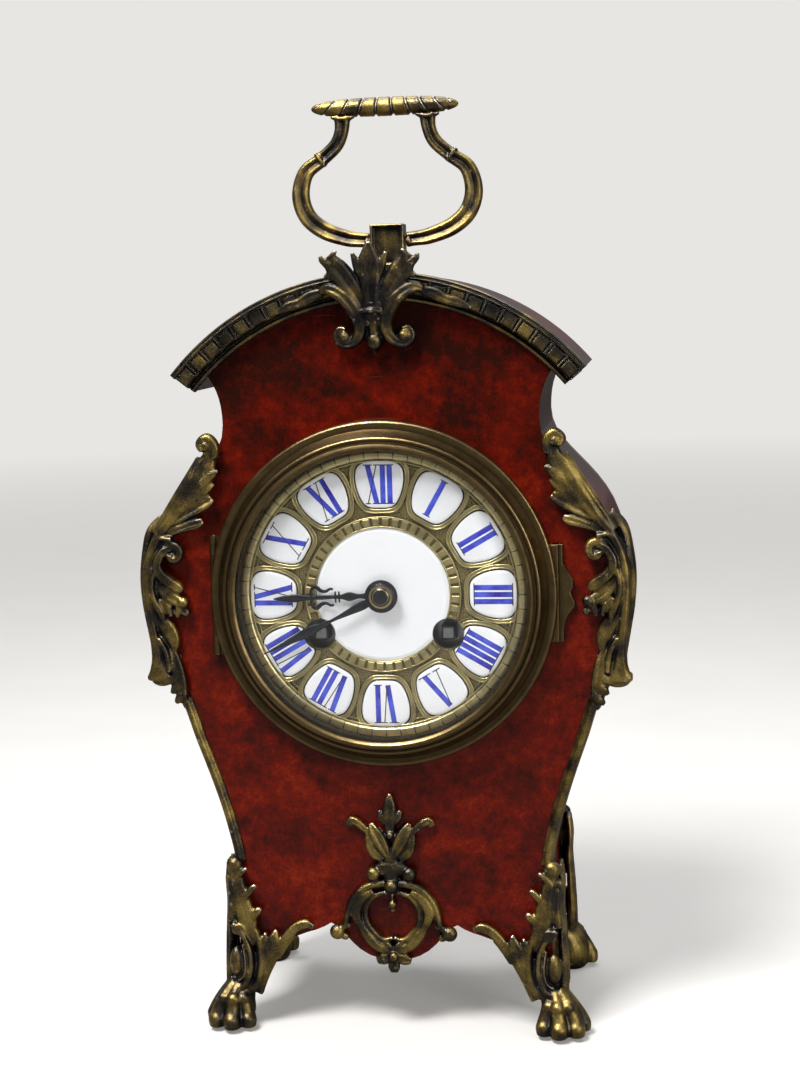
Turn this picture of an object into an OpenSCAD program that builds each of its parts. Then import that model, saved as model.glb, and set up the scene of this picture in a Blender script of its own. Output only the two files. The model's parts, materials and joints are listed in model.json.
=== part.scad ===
// Waisted mantel clock with gilt bronze mounts, a carrying handle and a striking movement.
// Millimetres, +Z up, the clock faces -Y and stands on z = 0.

/* [Wooden case] */
// Depth of the case from front face to back face
case_d = 58; // [52:1:80]
// Thickness of the front and back boards
board_t = 5; // [4:0.5:7]
// Thickness of the curved side boards
side_t = 4; // [3:0.5:6]
// Half width at the narrow neck
neck_half = 47.2; // [45:0.2:49]
// Height of the narrow neck
neck_z = 187; // [184:0.5:190]
// Half width at the belly
belly_half = 70.5; // [68:0.5:74]
// Height of the belly
belly_z = 141; // [137:0.5:145]
// Half width where the belly runs into the leg
waist_half = 48.5; // [47:0.25:50]
// Height where the belly runs into the leg
waist_z = 56; // [54:0.5:58]
// Height of the lowest point of the apron
apron_z = 21.8; // [20:0.2:24]
// Height of the cusps beside the apron
cusp_z = 33.4; // [31:0.2:35]
// Height of the leg's wooden end inside the paw
leg_end_z = 12; // [11:0.25:13]
// Top of the floor board inside the case
floor_z = 44; // [42:0.5:48]

/* [Roof] */
// Height of the centre of the roof's arc
roof_centre_z = 151; // [149:0.5:153]
// Outer radius of the roof board
roof_r = 79; // [77:0.5:82]
// Thickness of the roof board
roof_t = 7; // [5:0.5:8]
// Half angle of the roof's arc
roof_half_angle = 50; // [48:0.5:52]
// Half angle at which the case meets the roof
cheek_angle = 45.3; // [44:0.1:47]
// How far the bronze roof moulding stands out in front
moulding_d = 6; // [4:0.25:8]
// Number of dentil blocks along the moulding
dentils = 24; // [16:1:30]

/* [Handle] */
// Height of the handle's pivot above the roof
pivot_rise = 10; // [9:0.25:12]
// Radius of the handle's pivot bar
pivot_r = 2; // [1.6:0.1:2.4]
// Width of the handle's band
band_w = 5.6; // [4.5:0.1:6.5]
// Thickness of the handle's band
band_t = 4.4; // [3:0.2:5]
// Greatest half width of the handle, to the middle of its band
loop_half = 26.8; // [25:0.2:29]
// Height of the grip's axis above the pivot
grip_rise = 40.7; // [38:0.1:44]
// Half length of the grip
grip_half = 22.6; // [20:0.2:25]
// Radius of the grip
grip_r = 3; // [2.5:0.1:3.4]

/* [Dial and bezel] */
// Height of the dial's centre
dial_z = 136; // [134:0.5:138]
// How far the dial plate laps over the movement's drum
dial_lap = 4.1; // [3.8:0.1:4.4]
// How far the bezel covers the edge of the dial plate
sight_lap = 1.2; // [1.1:0.1:1.5]
// Width of the bezel outside the dial plate
bezel_w = 7.5; // [7:0.25:8]
// Radius of the white centre disc as a share of the dial's
centre_share = 0.45; // [0.43:0.005:0.46]
// Radius on which the numeral cartouches stand as a share of the dial's
chapter_share = 0.742; // [0.735:0.001:0.745]
// Height of a numeral cartouche as a share of the dial's radius
cartouche_share = 0.324; // [0.3:0.002:0.326]
// Half distance between the winding holes as a share of the drum's radius
wind_across = 0.475; // [0.47:0.001:0.48]
// Distance of the winding holes below the centre as a share of the drum's radius
wind_down = 0.292; // [0.288:0.001:0.296]
// Radius of a winding hole
wind_hole_r = 4.6; // [4.2:0.1:5]
// Size of the winding squares across their flats
wind_square = 4.2; // [3.8:0.1:4.6]

/* [Hands] */
// Length of the hour hand as a share of the dial's radius
hour_share = 0.72; // [0.65:0.01:0.76]
// Length of the minute hand as a share of the dial's radius
minute_share = 0.912; // [0.84:0.004:0.94]
// Hour hand's angle, clockwise from twelve
hour_angle = 268.4; // [0:0.1:360]
// Minute hand's angle, clockwise from twelve
minute_angle = 244.2; // [0:0.1:360]
// Thickness of a hand
hand_t = 0.6; // [0.4:0.05:0.7]

/* [Movement] */
// Distance between the movement's plates
plate_gap = 26; // [26:0.5:28]
// Thickness of a plate
plate_t = 2; // [1.5:0.1:2.5]
// Inner radius of the brass drum round the movement
drum_r = 40.4; // [38:0.1:42]
// Wall of the brass drum
drum_t = 0.8; // [0.6:0.1:1]
// Radius of the bell's rim
bell_r = 26; // [24:0.5:26.5]
// Radius of the balance wheel
balance_r = 7.5; // [6.5:0.25:8]

/* [Bronze mounts] */
// Height of the crest on the roof
crest_h = 29.6; // [29:0.1:30]
// Height of a shoulder mount
shoulder_h = 83.8; // [83:0.1:84.5]
// Height of a foot with its leaf
foot_h = 59; // [58.6:0.1:59.3]
// Height of the mount on the apron
apron_mount_h = 55.4; // [54:0.2:56]

/* [Fits] */
// Radial running clearance of shafts and pins
run_gap = 0.05; // [0.03:0.01:0.08]
// Clearance between faces of pieces that move past each other
move_gap = 0.3; // [0.25:0.05:0.4]
// Clearance of a piece that is set in a hole
fit_gap = 0.2; // [0.1:0.05:0.3]

/* [Hidden] */
$fn = 64;

bronze = [0.42, 0.33, 0.17];
brass = [0.66, 0.53, 0.26];
shell_red = [0.42, 0.05, 0.02];
dark_wood = [0.16, 0.07, 0.04];
steel = [0.55, 0.56, 0.58];
black = [0.05, 0.05, 0.06];
enamel = [0.93, 0.94, 0.95];
clear = [0.8, 0.88, 0.9, 0.35];

// Distances in front of the case's front face are called f; behind it f is negative.
bezel_depth = 10.5;
crest_reach = moulding_d + 5;
knob_reach = 11;
front_y = (max(bezel_depth, crest_reach) - knob_reach) / 2 - case_d / 2;
back_f = -case_d;
mid_y = front_y + case_d / 2;

wind_x = wind_across * drum_r;
wind_drop = wind_down * drum_r;
dial_r = drum_r + dial_lap;
sight_r = dial_r - sight_lap;
bezel_r = dial_r + bezel_w;
centre_r = centre_share * dial_r;
chapter_r = chapter_share * dial_r;
cartouche_h = cartouche_share * dial_r;
hour_len = hour_share * dial_r;
minute_len = minute_share * dial_r;

roof_in_r = roof_r - roof_t;
roof_top_z = roof_centre_z + roof_r;
pivot_z = roof_top_z + pivot_rise;

// Dial train planes
ledge_f = 1;
dial_t = 1.2;
dial_f = ledge_f + dial_t;
base_t = 3;
hole_r = drum_r + drum_t + fit_gap;
plate_r = drum_r - fit_gap;
plate_f = -(board_t + 2);
back_plate_f = plate_f - plate_gap - 2 * plate_t;

// One cubic span without its last point
function span(a, b, c, d, n = 8) = [for (i = [0 : n - 1]) let (t = i / n, s = 1 - t)
    s * s * s * a + 3 * s * s * t * b + 3 * s * t * t * c + t * t * t * d];
function reversed(p) = [for (i = [len(p) - 1 : -1 : 0]) p[i]];
function mirrored(p) = [for (q = p) [-q[0], q[1]]];
function unit(v) = v / norm(v);
function tangent(p, i) = unit(p[min(i + 1, len(p) - 1)] - p[max(i - 1, 0)]);
// Points moved to the right of their direction of travel
function shifted(p, d) = [for (i = [0 : len(p) - 1]) let (t = tangent(p, i))
    p[i] + d * [t[1], -t[0]]];
// A band of constant width along a line of points
function band(p, w) = concat(shifted(p, w / 2), reversed(shifted(p, -w / 2)));
// A closed smooth curve through key points
function smooth(k, n = 4) = [for (i = [0 : len(k) - 1]) for (j = [0 : n - 1])
    let (m = len(k), t = j / n, a = k[(i + m - 1) % m], b = k[i], c = k[(i + 1) % m],
        d = k[(i + 2) % m])
    0.5 * (2 * b + (c - a) * t + (2 * a - 5 * b + 4 * c - d) * t * t
        + (3 * b - a - 3 * c + d) * t * t * t)];
function polar(r, a) = [r * cos(a), r * sin(a)];

// Case outline, right half, from the roof down to the middle of the apron
cheek = [roof_in_r * sin(cheek_angle), roof_centre_z + roof_in_r * cos(cheek_angle)];
leg_out = [waist_half - 0.5, leg_end_z];
leg_in = [waist_half - 6, leg_end_z];
side_line = concat(
    span(cheek, cheek - [3, 4.5], [neck_half, neck_z + 6], [neck_half, neck_z], 6),
    span([neck_half, neck_z], [neck_half, neck_z - 15], [belly_half, belly_z + 27],
        [belly_half, belly_z], 12),
    span([belly_half, belly_z], [belly_half, belly_z - 26], [waist_half + 4, waist_z + 24],
        [waist_half, waist_z], 14),
    span([waist_half, waist_z], [waist_half - 2, waist_z - 12], [waist_half + 1, leg_end_z + 18],
        leg_out, 8),
    [leg_out]);
bracket = [27, cusp_z - 3.2];
cusp = [19.5, cusp_z];
apron_line = concat(
    span(leg_in, leg_in + [-2.5, 9], bracket + [7, -1.7], bracket, 6),
    span(bracket, bracket + [-3, 0.8], cusp + [2, -1.4], cusp, 3),
    span(cusp, cusp + [-5, -1.4], [13, apron_z], [0, apron_z], 8));
roof_line = [for (a = [90 - cheek_angle + 5 : 5 : 90]) [0, roof_centre_z] + polar(roof_in_r, a)];
half_line = concat(reversed(roof_line), side_line, apron_line);
outline = concat(half_line, [[0, apron_z]], reversed(mirrored([for (i = [1 : len(half_line) - 1])
    half_line[i]])));
inner_line = shifted(side_line, side_t);

// Local x is right, local y is up and local z is f
module face_frame() translate([0, front_y, 0]) rotate([90, 0, 0]) children();
module dial_frame() face_frame() translate([0, dial_z, 0]) children();
module slab(f0, f1) translate([0, 0, f0]) linear_extrude(f1 - f0) children();
module rod(r, f0, f1) translate([0, 0, f0]) cylinder(r = r, h = f1 - f0);
module ring(r0, r1, f0, f1) slab(f0, f1) difference() { circle(r1); circle(r0); }
module block(x0, x1, y0, y1, f0, f1) translate([x0, y0, f0]) cube([x1 - x0, y1 - y0, f1 - f0]);
module both_sides() { children(); mirror([1, 0, 0]) children(); }

// Wooden case

module board_shape() difference() {
    polygon(outline);
    translate([0, dial_z]) circle(hole_r, $fn = 128);
}

module front_board() color(shell_red) face_frame() slab(-board_t, 0) board_shape();
module back_board() color(dark_wood) face_frame() slab(back_f, back_f + board_t) board_shape();

side_leg_w = 9;
arch_z = cusp_z - 1;
module side_arch() {
    y0 = front_y + side_leg_w;
    y1 = front_y + case_d - side_leg_w;
    quarter = span([y0, -1], [y0 + 1, arch_z * 0.7], [y0 + 5, arch_z - 2], [y0 + 12, arch_z - 1], 6);
    arch = concat([[y0, -2]], quarter, [[mid_y, arch_z]],
        reversed([for (p = quarter) [y0 + y1 - p[0], p[1]]]), [[y1, -2]]);
    rotate([90, 0, 90]) linear_extrude(belly_half + 20) polygon(arch);
}

module side_board() difference() {
    face_frame() slab(back_f + board_t, -board_t)
        polygon(concat(side_line, reversed(inner_line)));
    side_arch();
}

module side_left() color(shell_red) mirror([1, 0, 0]) side_board();
module side_right() color(shell_red) side_board();

module roof_board() color(shell_red) face_frame() translate([0, roof_centre_z, 0])
    rotate([0, 0, 90 - roof_half_angle]) translate([0, 0, back_f])
    rotate_extrude(angle = 2 * roof_half_angle, $fn = 128)
    translate([roof_in_r, 0]) square([roof_t, case_d]);

floor_t = 4;
module floor_board() color(dark_wood) face_frame() intersection() {
    slab(back_f + board_t, -board_t) polygon(concat(inner_line, reversed(mirrored(inner_line))));
    block(-belly_half, belly_half, floor_z - floor_t, floor_z, back_f, 0);
}

// Bronze moulding over the front edge of the roof

lip_r = roof_r + 1;
band_low_r = roof_in_r + 1.6;
module roof_moulding() color(bronze) face_frame() translate([0, roof_centre_z, 0]) {
    rotate([0, 0, 90 - roof_half_angle]) rotate_extrude(angle = 2 * roof_half_angle, $fn = 128)
        polygon(concat([[roof_in_r - 0.4, 0], [roof_in_r - 0.4, moulding_d - 3.6]],
            [for (a = [180 : -30 : 0]) [roof_in_r + 0.6, moulding_d - 3.6] + polar(1, a)],
            [[band_low_r, moulding_d - 2], [lip_r - 1.8, moulding_d - 2]],
            [for (a = [180 : -30 : 0]) [lip_r - 0.9, moulding_d - 0.9] + polar(0.9, a)],
            [[lip_r, 0]]));
    pitch = 2 * roof_half_angle / dentils;
    for (i = [0 : dentils - 1]) rotate([0, 0, 90 - roof_half_angle + pitch * (i + 0.2)])
        translate([0, 0, moulding_d - 2.2])
        rotate_extrude(angle = pitch * 0.6, $fn = 128)
        translate([band_low_r + 0.5, 0]) square([lip_r - 1.9 - band_low_r - 0.5, 1.4]);
}

// Cast ornament

// Outline of an acanthus leaf that points up, with rounded lobes along both edges
function leaf(l, w, lobes = 3, cut = 0.3) = let (n = lobes * 5, half = [for (i = [0 : n])
    let (t = i / n) [w * sin(180 * pow(t, 0.75)) * (1 - cut + cut * abs(sin(180 * lobes * t))),
        l * t]])
    concat(half, reversed([for (i = [1 : n - 1]) [-half[i][0], half[i][1]]]));
// Line of a scroll that winds in by a steady rate
function scroll_line(r0, r1, a0, a1, steps = 16) = [for (i = [0 : steps])
    polar(r0 + (r1 - r0) * i / steps, a0 + (a1 - a0) * i / steps)];

module leaf_at(x, y, turn, l, w, f0, f1, lobes = 3, cut = 0.3)
    translate([x, y, 0]) rotate([0, 0, turn]) slab(f0, f1) polygon(leaf(l, w, lobes, cut));
module volute(x, y, r, f0, f1, a0 = 90, turn = 450) translate([x, y, 0]) {
    slab(f0, f1 - 0.8) circle(r * 0.72);
    slab(f0, f1) polygon(band(scroll_line(r - 0.5, r * 0.35, a0, a0 + turn), 0.9));
    rod(r * 0.3, f0, f1);
}
module bud(x, y, r, f) translate([x, y, f]) sphere(r, $fn = 32);

module crest_solid() {
    f1 = crest_reach - 2.5;
    slab(0, f1) polygon(smooth([[0, 13], [3.5, 10], [6, 4], [11, 3.6],
        [13.5, 3], [10.5, 0.2], [6, -2.5], [7, -6], [9.5, -8.5], [6, -11], [3, -9.5],
        [1.7, -14], [0, -16], [-1.7, -14], [-3, -9.5], [-6, -11], [-9.5, -8.5], [-7, -6],
        [-6, -2.5], [-10.5, 0.2], [-13.5, 3], [-11, 3.6], [-6, 4], [-3.5, 10]]));
    leaf_at(0, -4, 0, 20.5, 4.2, f1 - 1, f1 + 2);
    both_sides() {
        leaf_at(1.5, -3, -27, 17, 3.2, f1 - 2, f1 + 1.2);
        leaf_at(3, -2, -58, 14.5, 3, f1 - 1.6, f1 + 0.8);
        volute(9.3, -9.4, 3.4, 0.5, f1 + 1, 90, 450);
    }
    bud(0, -3.7, 2.1, f1 + 0.4);
    bud(0, -13.2, 1.9, f1 - 0.4);
}

module crest_mount() color(bronze) face_frame() difference() {
    translate([0, roof_centre_z + roof_in_r, 0]) scale(crest_h / 29.6) crest_solid();
    translate([0, roof_centre_z, 0]) ring(roof_in_r - 0.5, lip_r + 0.1, -1, moulding_d);
}

staple_half = 5.2;
module handle_staple() color(bronze) difference() {
    union() {
        translate([-staple_half, mid_y - 3.5, roof_top_z - 2])
            cube([2 * staple_half, 7, pivot_rise + 7.5]);
        translate([-staple_half - 1, mid_y - 4.5, roof_top_z - 2])
            cube([2 * staple_half + 2, 9, 4]);
    }
    face_frame() translate([0, roof_centre_z, 0]) rod(roof_r, back_f, 0, $fn = 128);
    translate([-20, mid_y, pivot_z]) rotate([0, 90, 0]) cylinder(r = pivot_r + run_gap, h = 40);
}

// Line of the handle's band, from the pivot to the grip, about the pivot
loop_start = staple_half + 1.8;
loop_line = concat(
    span([loop_start, 0.8], [15, 1], [loop_half, 5], [loop_half, 15], 8),
    span([loop_half, 15], [loop_half, 21], [loop_half - 2.8, 23.5], [loop_half - 6.8, 25.5], 6),
    span([loop_half - 6.8, 25.5], [loop_half - 10.8, 27.5], [loop_half - 13.5, 31],
        [loop_half - 13.5, grip_rise - grip_r], 6),
    [[loop_half - 13.5, grip_rise - grip_r * 0.8]]);
module pivot_frame() translate([0, mid_y, pivot_z]) rotate([90, 0, 0]) children();

module handle_loop() color(bronze) pivot_frame() {
    both_sides() {
        slab(-band_t / 2, band_t / 2) polygon(band(loop_line, band_w - 1.2));
        slab(-band_t / 2 - 0.4, band_t / 2 + 0.4) {
            polygon(band(shifted(loop_line, band_w / 2 - 0.6), 1.2));
            polygon(band(shifted(loop_line, 0.6 - band_w / 2), 1.2));
        }
    }
    rotate([0, 90, 0]) cylinder(r = pivot_r, h = 2 * loop_start + 1, center = true);
}

module handle_grip() color(bronze) pivot_frame() difference() {
    translate([0, grip_rise, 0]) rotate([0, 90, 0]) rotate_extrude(angle = 360) {
        beads = 9;
        step = 2 * grip_half / (beads + 2);
        polygon(concat([[0, -grip_half], [grip_r * 0.45, -grip_half + 0.5]],
            [for (i = [0 : beads - 1]) for (a = [-60 : 30 : 60])
                [grip_r * (0.78 + 0.22 * cos(a)), (i - (beads - 1) / 2) * step + a / 140 * step]],
            [[grip_r * 0.45, grip_half - 0.5], [0, grip_half]]));
    }
    both_sides() slab(-band_t, band_t) polygon(band(loop_line, band_w + 0.02));
}

// Shoulder mounts: a leaf, a C scroll and a flange that laps over the case's edge

module shoulder_mount() face_frame() difference() {
    translate([belly_half, belly_z, 0]) scale(shoulder_h / 83.8) shoulder_solid();
    slab(back_f, 0) polygon(outline);
}
// The mount about the belly's widest point
module shoulder_solid() {
    slab(-9, 2.4) polygon(smooth([[-19.9, 42], [-16.5, 40.5], [-14, 34], [-9.5, 27], [-4.5, 19.5],
        [0, 15.5], [3.5, 9], [4.5, 1], [4, -8], [1.8, -13], [1.2, -20], [-0.5, -27], [-1, -33],
        [-6, -36.5], [-8.5, -41], [-10.5, -40], [-9.5, -34], [-10, -29], [-7.5, -23.5],
        [-9, -18], [-11.7, -12.5], [-10.5, -7], [-11.7, -3], [-10.3, 3], [-11, 10], [-10, 14.5],
        [-15.5, 16.5], [-19.7, 25], [-21, 30], [-23.2, 35.5], [-22.5, 40]]));
    bud(-19, 40, 2.4, 2.5);
    leaf_at(-14, 17.5, 18, 21, 4.6, 1.8, 4, 4, 0.3);
    leaf_at(-5.5, 15, 32, 15, 3.2, 1.6, 3.6, 3, 0.3);
    volute(-7.9, 8.4, 4.2, 1.6, 5.4, 60, 420);
    slab(1.6, 4.4) polygon(band(span([-5, 11], [-0.5, 5], [0.5, -3], [-4, -9.5], 10), 3));
    leaf_at(-4.5, -9, 78, 9.5, 3, 1.5, 4.6, 3, 0.3);
    volute(-9.1, -12.2, 3, 1.6, 4.8, 120, 420);
    leaf_at(-4.3, -14, 176, 19, 3.4, 1.7, 4.2, 4, 0.3);
    bud(-7.5, -37, 2.2, 2.3);
}
module shoulder_mount_left() color(bronze) mirror([1, 0, 0]) shoulder_mount();
module shoulder_mount_right() color(bronze) shoulder_mount();

// Half round moulding down the front corners, between the shoulder mounts and the feet
edge_line = [for (p = side_line) if (p[1] < belly_z - 20 && p[1] > waist_z - 8) p];
edge_low_z = 59.3;
edge_high_z = 99.4;
module edge_moulding() face_frame() intersection() {
    difference() {
        union() {
            slab(-3.5, 1.2)
                polygon(concat(shifted(edge_line, -1.2), reversed(shifted(edge_line, 3.2))));
            slab(1.1, 2) polygon(concat(shifted(edge_line, -0.6), reversed(shifted(edge_line, 1.6))));
        }
        slab(back_f, 0) polygon(outline);
    }
    block(0, belly_half + 9, edge_low_z, edge_high_z, -9, 9);
}
module edge_moulding_left() color(bronze) mirror([1, 0, 0]) edge_moulding();
module edge_moulding_right() color(bronze) edge_moulding();

// Feet: a leaf on the corner of the leg, a leaf bracket under the apron, and a paw

paw_x = 2.8;
paw_r = 5.6;
toes = 4;
module paw() intersection() {
    union() {
        translate([paw_x - 0.8, 6.2, -3]) sphere(paw_r + 1.4);
        translate([paw_x - 2.6, 13, -2.5]) sphere(5);
        for (i = [0 : toes - 1]) {
            a = -36 + 24 * i;
            translate([paw_x + 5.6 * sin(a), 2.6, -2 + 6.4 * cos(a)]) {
                sphere(3, $fn = 32);
                translate([-1.6 * sin(a), 1.9, -2.4 * cos(a)]) sphere(3.3, $fn = 32);
            }
        }
    }
    block(-20, 20, 0, 22, -20, 20);
}

// The foot about the point on the ground under the leg's outer edge
module foot_solid() {
    slab(-9, 2.2) polygon(smooth([[-4.5, 57.3], [-1.5, 59], [1.4, 57.3], [2.3, 50],
        [1.7, 42], [2.5, 33], [2.9, 24], [3.3, 14], [-1.5, 11], [-5.5, 11.5], [-7.5, 16.5],
        [-11.7, 21.5], [-16.2, 27], [-20.5, 31.5], [-24.7, 34.6], [-21.9, 36.8], [-17.5, 35],
        [-13.1, 34.4], [-10.1, 37], [-9.7, 40.6], [-7.5, 43.8], [-8.5, 47.3], [-5.5, 51.5]]));
    paw();
    leaf_at(-2.5, 40, 3, 17.5, 3.4, 1.4, 3.8, 4, 0.35);
    leaf_at(-5.5, 31.5, 62, 16, 3.2, 1.6, 3.6, 4, 0.35);
    slab(1.4, 4.6) translate([0.2, 22.2]) polygon([for (a = [0 : 15 : 345])
        [2.6 * cos(a), 5.6 * sin(a)]]);
    leaf_at(-1.5, 36.5, 186, 13, 3, 1.2, 3.4, 3, 0.3);
}

module corner_foot() face_frame() difference() {
    translate([waist_half, 0, 0]) scale(foot_h / 59) foot_solid();
    slab(back_f, 0) polygon(outline);
}
module back_to_front() translate([0, 2 * mid_y, 0]) mirror([0, 1, 0]) children();
module foot_front_left() color(bronze) mirror([1, 0, 0]) corner_foot();
module foot_front_right() color(bronze) corner_foot();
module foot_back_left() color(bronze) back_to_front() mirror([1, 0, 0]) corner_foot();
module foot_back_right() color(bronze) back_to_front() corner_foot();

// Apron mount: a leaf finial over a ring of two scrolls with a flower below

module apron_mount() color(bronze) face_frame() translate([0, apron_z, 0])
    scale(apron_mount_h / 55.4) apron_solid();
// The mount about the lowest point of the apron
module apron_solid() {
    slab(0, 2) polygon(smooth([[0, 53.5], [2.2, 48], [5, 45], [8, 46.5],
        [13.4, 43.5], [9.5, 41], [6, 37.5], [4.4, 32], [6.4, 29], [4, 25.5], [-4, 25.5],
        [-6.4, 29], [-4.4, 32], [-6, 37.5], [-9.5, 41], [-13.4, 43.5], [-8, 46.5], [-5, 45],
        [-2.2, 48]]));
    leaf_at(0, 34, 0, 19, 3.2, 1.4, 3.6);
    both_sides() {
        leaf_at(1, 34, -48, 13, 2.8, 1.2, 3.2);
        volute(5.4, 28.4, 2.4, 0, 3.4, 0, 400);
        slab(0, 2.8) polygon(band(span([0, 25.5], [11, 24], [12, 12], [0, 7], 12), 2.4));
        slab(0, 2.2) polygon(band(span([7.5, 21], [11.5, 19], [12, 13], [16, 10], 8), 2.6));
        volute(14.8, 10.4, 2.6, 0, 3.2, 90, 400);
    }
    slab(0, 1.8) polygon([[-1.4, 26], [-0.9, 20], [0.9, 20], [1.4, 26]]);
    bud(0, 25, 2.2, 2.3);
    bud(0, 20.2, 1.9, 2);
    for (i = [0 : 5]) leaf_at(0, 4.6, 60 * i, 5.4, 2, 0, 2.6, 1, 0);
    slab(0, 2.9) translate([0, 4.6]) circle(2.1);
    bud(0, 4.6, 1.5, 2.6);
}

// Bezel base with its ear, fixed to the board, and the hinged bezel

hinge_x = -(bezel_r - 1);
hinge_f = 1.7;
knuckle_r = 1.4;
hinge_pin_r = 0.5;
hinge_half = 18;
knuckle_half = 12;
bezel_back_f = base_t + 0.2;

// Upright barrel of a hinge between two heights from the dial's centre
module barrel(y0, y1, r) translate([0, y0, 0]) rotate([-90, 0, 0]) cylinder(r = r, h = y1 - y0);

module bezel_base() color(brass) dial_frame() difference() {
    union() {
        ring(dial_r + fit_gap, bezel_r - 1, 0, base_t, $fn = 128);
        ring(drum_r + drum_t + 0.1, bezel_r - 3, 0, ledge_f, $fn = 128);
        slab(0, 2.4) difference() {
            translate([bezel_r, 0]) polygon(smooth([[-4, 15], [2, 15], [2, 9], [3.2, 6.2],
                [4.9, 4.6], [5.1, 2.6], [4, 0.4], [5.2, -1.4], [5.1, -4], [3, -6.4], [2, -9.6],
                [2, -15], [-4, -15]], 3));
            circle(bezel_r - 3);
        }
        both_sides_up() translate([hinge_x, 0, hinge_f]) {
            barrel(knuckle_half + 0.2, hinge_half, knuckle_r);
            block(0, 6, knuckle_half + 0.2, hinge_half, -1.7, 0.9);
        }
    }
    translate([hinge_x, 0, hinge_f]) barrel(-40, 40, hinge_pin_r + run_gap);
    block(hinge_x - 4, hinge_x + knuckle_r + move_gap, -knuckle_half - 0.2, knuckle_half + 0.2, -1, 6);
}
module both_sides_up() { children(); mirror([0, 1, 0]) children(); }

module bezel_hinge_pin() color(steel) dial_frame() translate([hinge_x, 0, hinge_f])
    barrel(-hinge_half - 0.3, hinge_half + 0.3, hinge_pin_r);

glass_t = 1.3;
glass_f = 8.5;
glass_r = sight_r + 0.9;
module bezel_ring() color(brass) dial_frame() difference() {
    union() {
        rotate_extrude($fn = 160) polygon(concat(
            [[glass_r, bezel_back_f], [bezel_r - 0.6, bezel_back_f]],
            [for (a = [-40 : 20 : 120]) [bezel_r - 1.1, bezel_back_f + 0.9] + polar(1.1, a)],
            [[bezel_r - 2.6, 5], [bezel_r - 3.2, 5.9], [bezel_r - 4.2, 7]],
            [for (a = [-20 : 25 : 130]) [bezel_r - 5.4, 7.9] + polar(1, a)],
            [[bezel_r - 6.6, 8.8]],
            [for (a = [0 : 30 : 150]) [bezel_r - 7.4, bezel_depth - 0.9] + polar(0.9, a)],
            [[sight_r, bezel_depth - 0.7], [sight_r, glass_f + glass_t], [glass_r, glass_f + glass_t]]));
        translate([hinge_x, 0, hinge_f]) {
            barrel(-knuckle_half, knuckle_half, knuckle_r);
            block(-0.4, 1.1, -knuckle_half + 2, knuckle_half - 2, 0, bezel_back_f - hinge_f + 0.2);
        }
    }
    translate([hinge_x, 0, hinge_f]) barrel(-40, 40, hinge_pin_r + run_gap);
}

module bezel_glass() color(clear) dial_frame() rotate_extrude($fn = 128)
    polygon([[0, glass_f], [glass_r, glass_f], [glass_r, glass_f + glass_t],
        [sight_r, glass_f + glass_t], [sight_r - 2.6, glass_f + glass_t + 0.6],
        [0, glass_f + glass_t + 0.6]]);

// Dial

hour_pipe_r = 2.3;
centre_hole_r = hour_pipe_r + 0.3;
module wind_holes(r) both_sides() translate([wind_x, -wind_drop]) circle(r, $fn = 48);

module cartouche_shape(h) {
    k = h / 2;
    polygon(smooth([[0, k], [k * 0.62, k * 0.93], [k * 0.98, k * 0.62], [k, 0],
        [k * 0.8, -k * 0.62], [k * 0.5, -k * 0.95], [0, -k], [-k * 0.5, -k * 0.95],
        [-k * 0.8, -k * 0.62], [-k, 0], [-k * 0.98, k * 0.62], [-k * 0.62, k * 0.93]], 3));
}

// Posts of the dial plate, pinned in the front plate
post_place = drum_r - 4.4;
post_r = 1;
module dial_plate() color(brass) dial_frame() {
    difference() {
        union() {
            rod(dial_r, ledge_f, dial_f, $fn = 128);
            ring(chapter_r + cartouche_h / 2 + 0.2, sight_r - 0.1, dial_f - 0.1, dial_f + 0.5, $fn = 128);
            ring(centre_r + 0.1, centre_r + 3, dial_f - 0.1, dial_f + 0.5, $fn = 128);
        }
        slab(0, 5) wind_holes(wind_hole_r);
        rod(centre_hole_r, 0, 5);
    }
    for (a = [45 : 90 : 315]) translate([post_place * cos(a), post_place * sin(a), 0])
        rod(post_r, plate_f - plate_t, ledge_f);
}

module dial_centre() color(enamel) dial_frame() difference() {
    rotate_extrude($fn = 128) polygon([[0, dial_f], [centre_r, dial_f], [centre_r, dial_f + 0.3],
        [centre_r - 1, dial_f + 0.6], [0, dial_f + 0.9]]);
    slab(0, 5) wind_holes(wind_hole_r);
    rod(centre_hole_r, 0, 5);
}

module numeral_cartouches() color(enamel) dial_frame() difference() {
    for (i = [0 : 11]) rotate([0, 0, 30 * i]) translate([0, chapter_r, 0]) {
        slab(dial_f, dial_f + 0.7) cartouche_shape(cartouche_h);
        slab(dial_f + 0.7, dial_f + 1) cartouche_shape(cartouche_h - 1.6);
    }
    slab(0, 5) wind_holes(wind_hole_r + 0.2);
}

// Hands, drawn pointing up and turned to the time shown

hour_f = 3.9;
minute_f = 5.2;
hour_pipe_end_r = 2;
cannon_r = 1.5;
arbor_r = 1;

module hour_hand() color(black) dial_frame() rotate([0, 0, -hour_angle]) slab(hour_f, hour_f + hand_t)
    difference() {
        union() {
            circle(4.2);
            polygon(smooth([[1.1, 3], [2.6, 6.5], [1.1, 10.4], [1.1, 11.6], [3.8, 12.6],
                [1.2, 13.4], [1, 14.4], [3.6, 15.6], [3.9, 18.6], [2.2, 19.4], [1.7, 21.6],
                [2.9, 22.6], [1, 24], [0.8, 27], [0, hour_len], [-0.8, 27], [-1, 24], [-2.9, 22.6],
                [-1.7, 21.6], [-2.2, 19.4], [-3.9, 18.6], [-3.6, 15.6], [-1, 14.4], [-1.2, 13.4],
                [-3.8, 12.6], [-1.1, 11.6], [-1.1, 10.4], [-2.6, 6.5], [-1.1, 3]], 3));
        }
        circle(hour_pipe_end_r);
        both_sides() translate([1.9, 17.2]) circle(0.8);
    }

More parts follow.
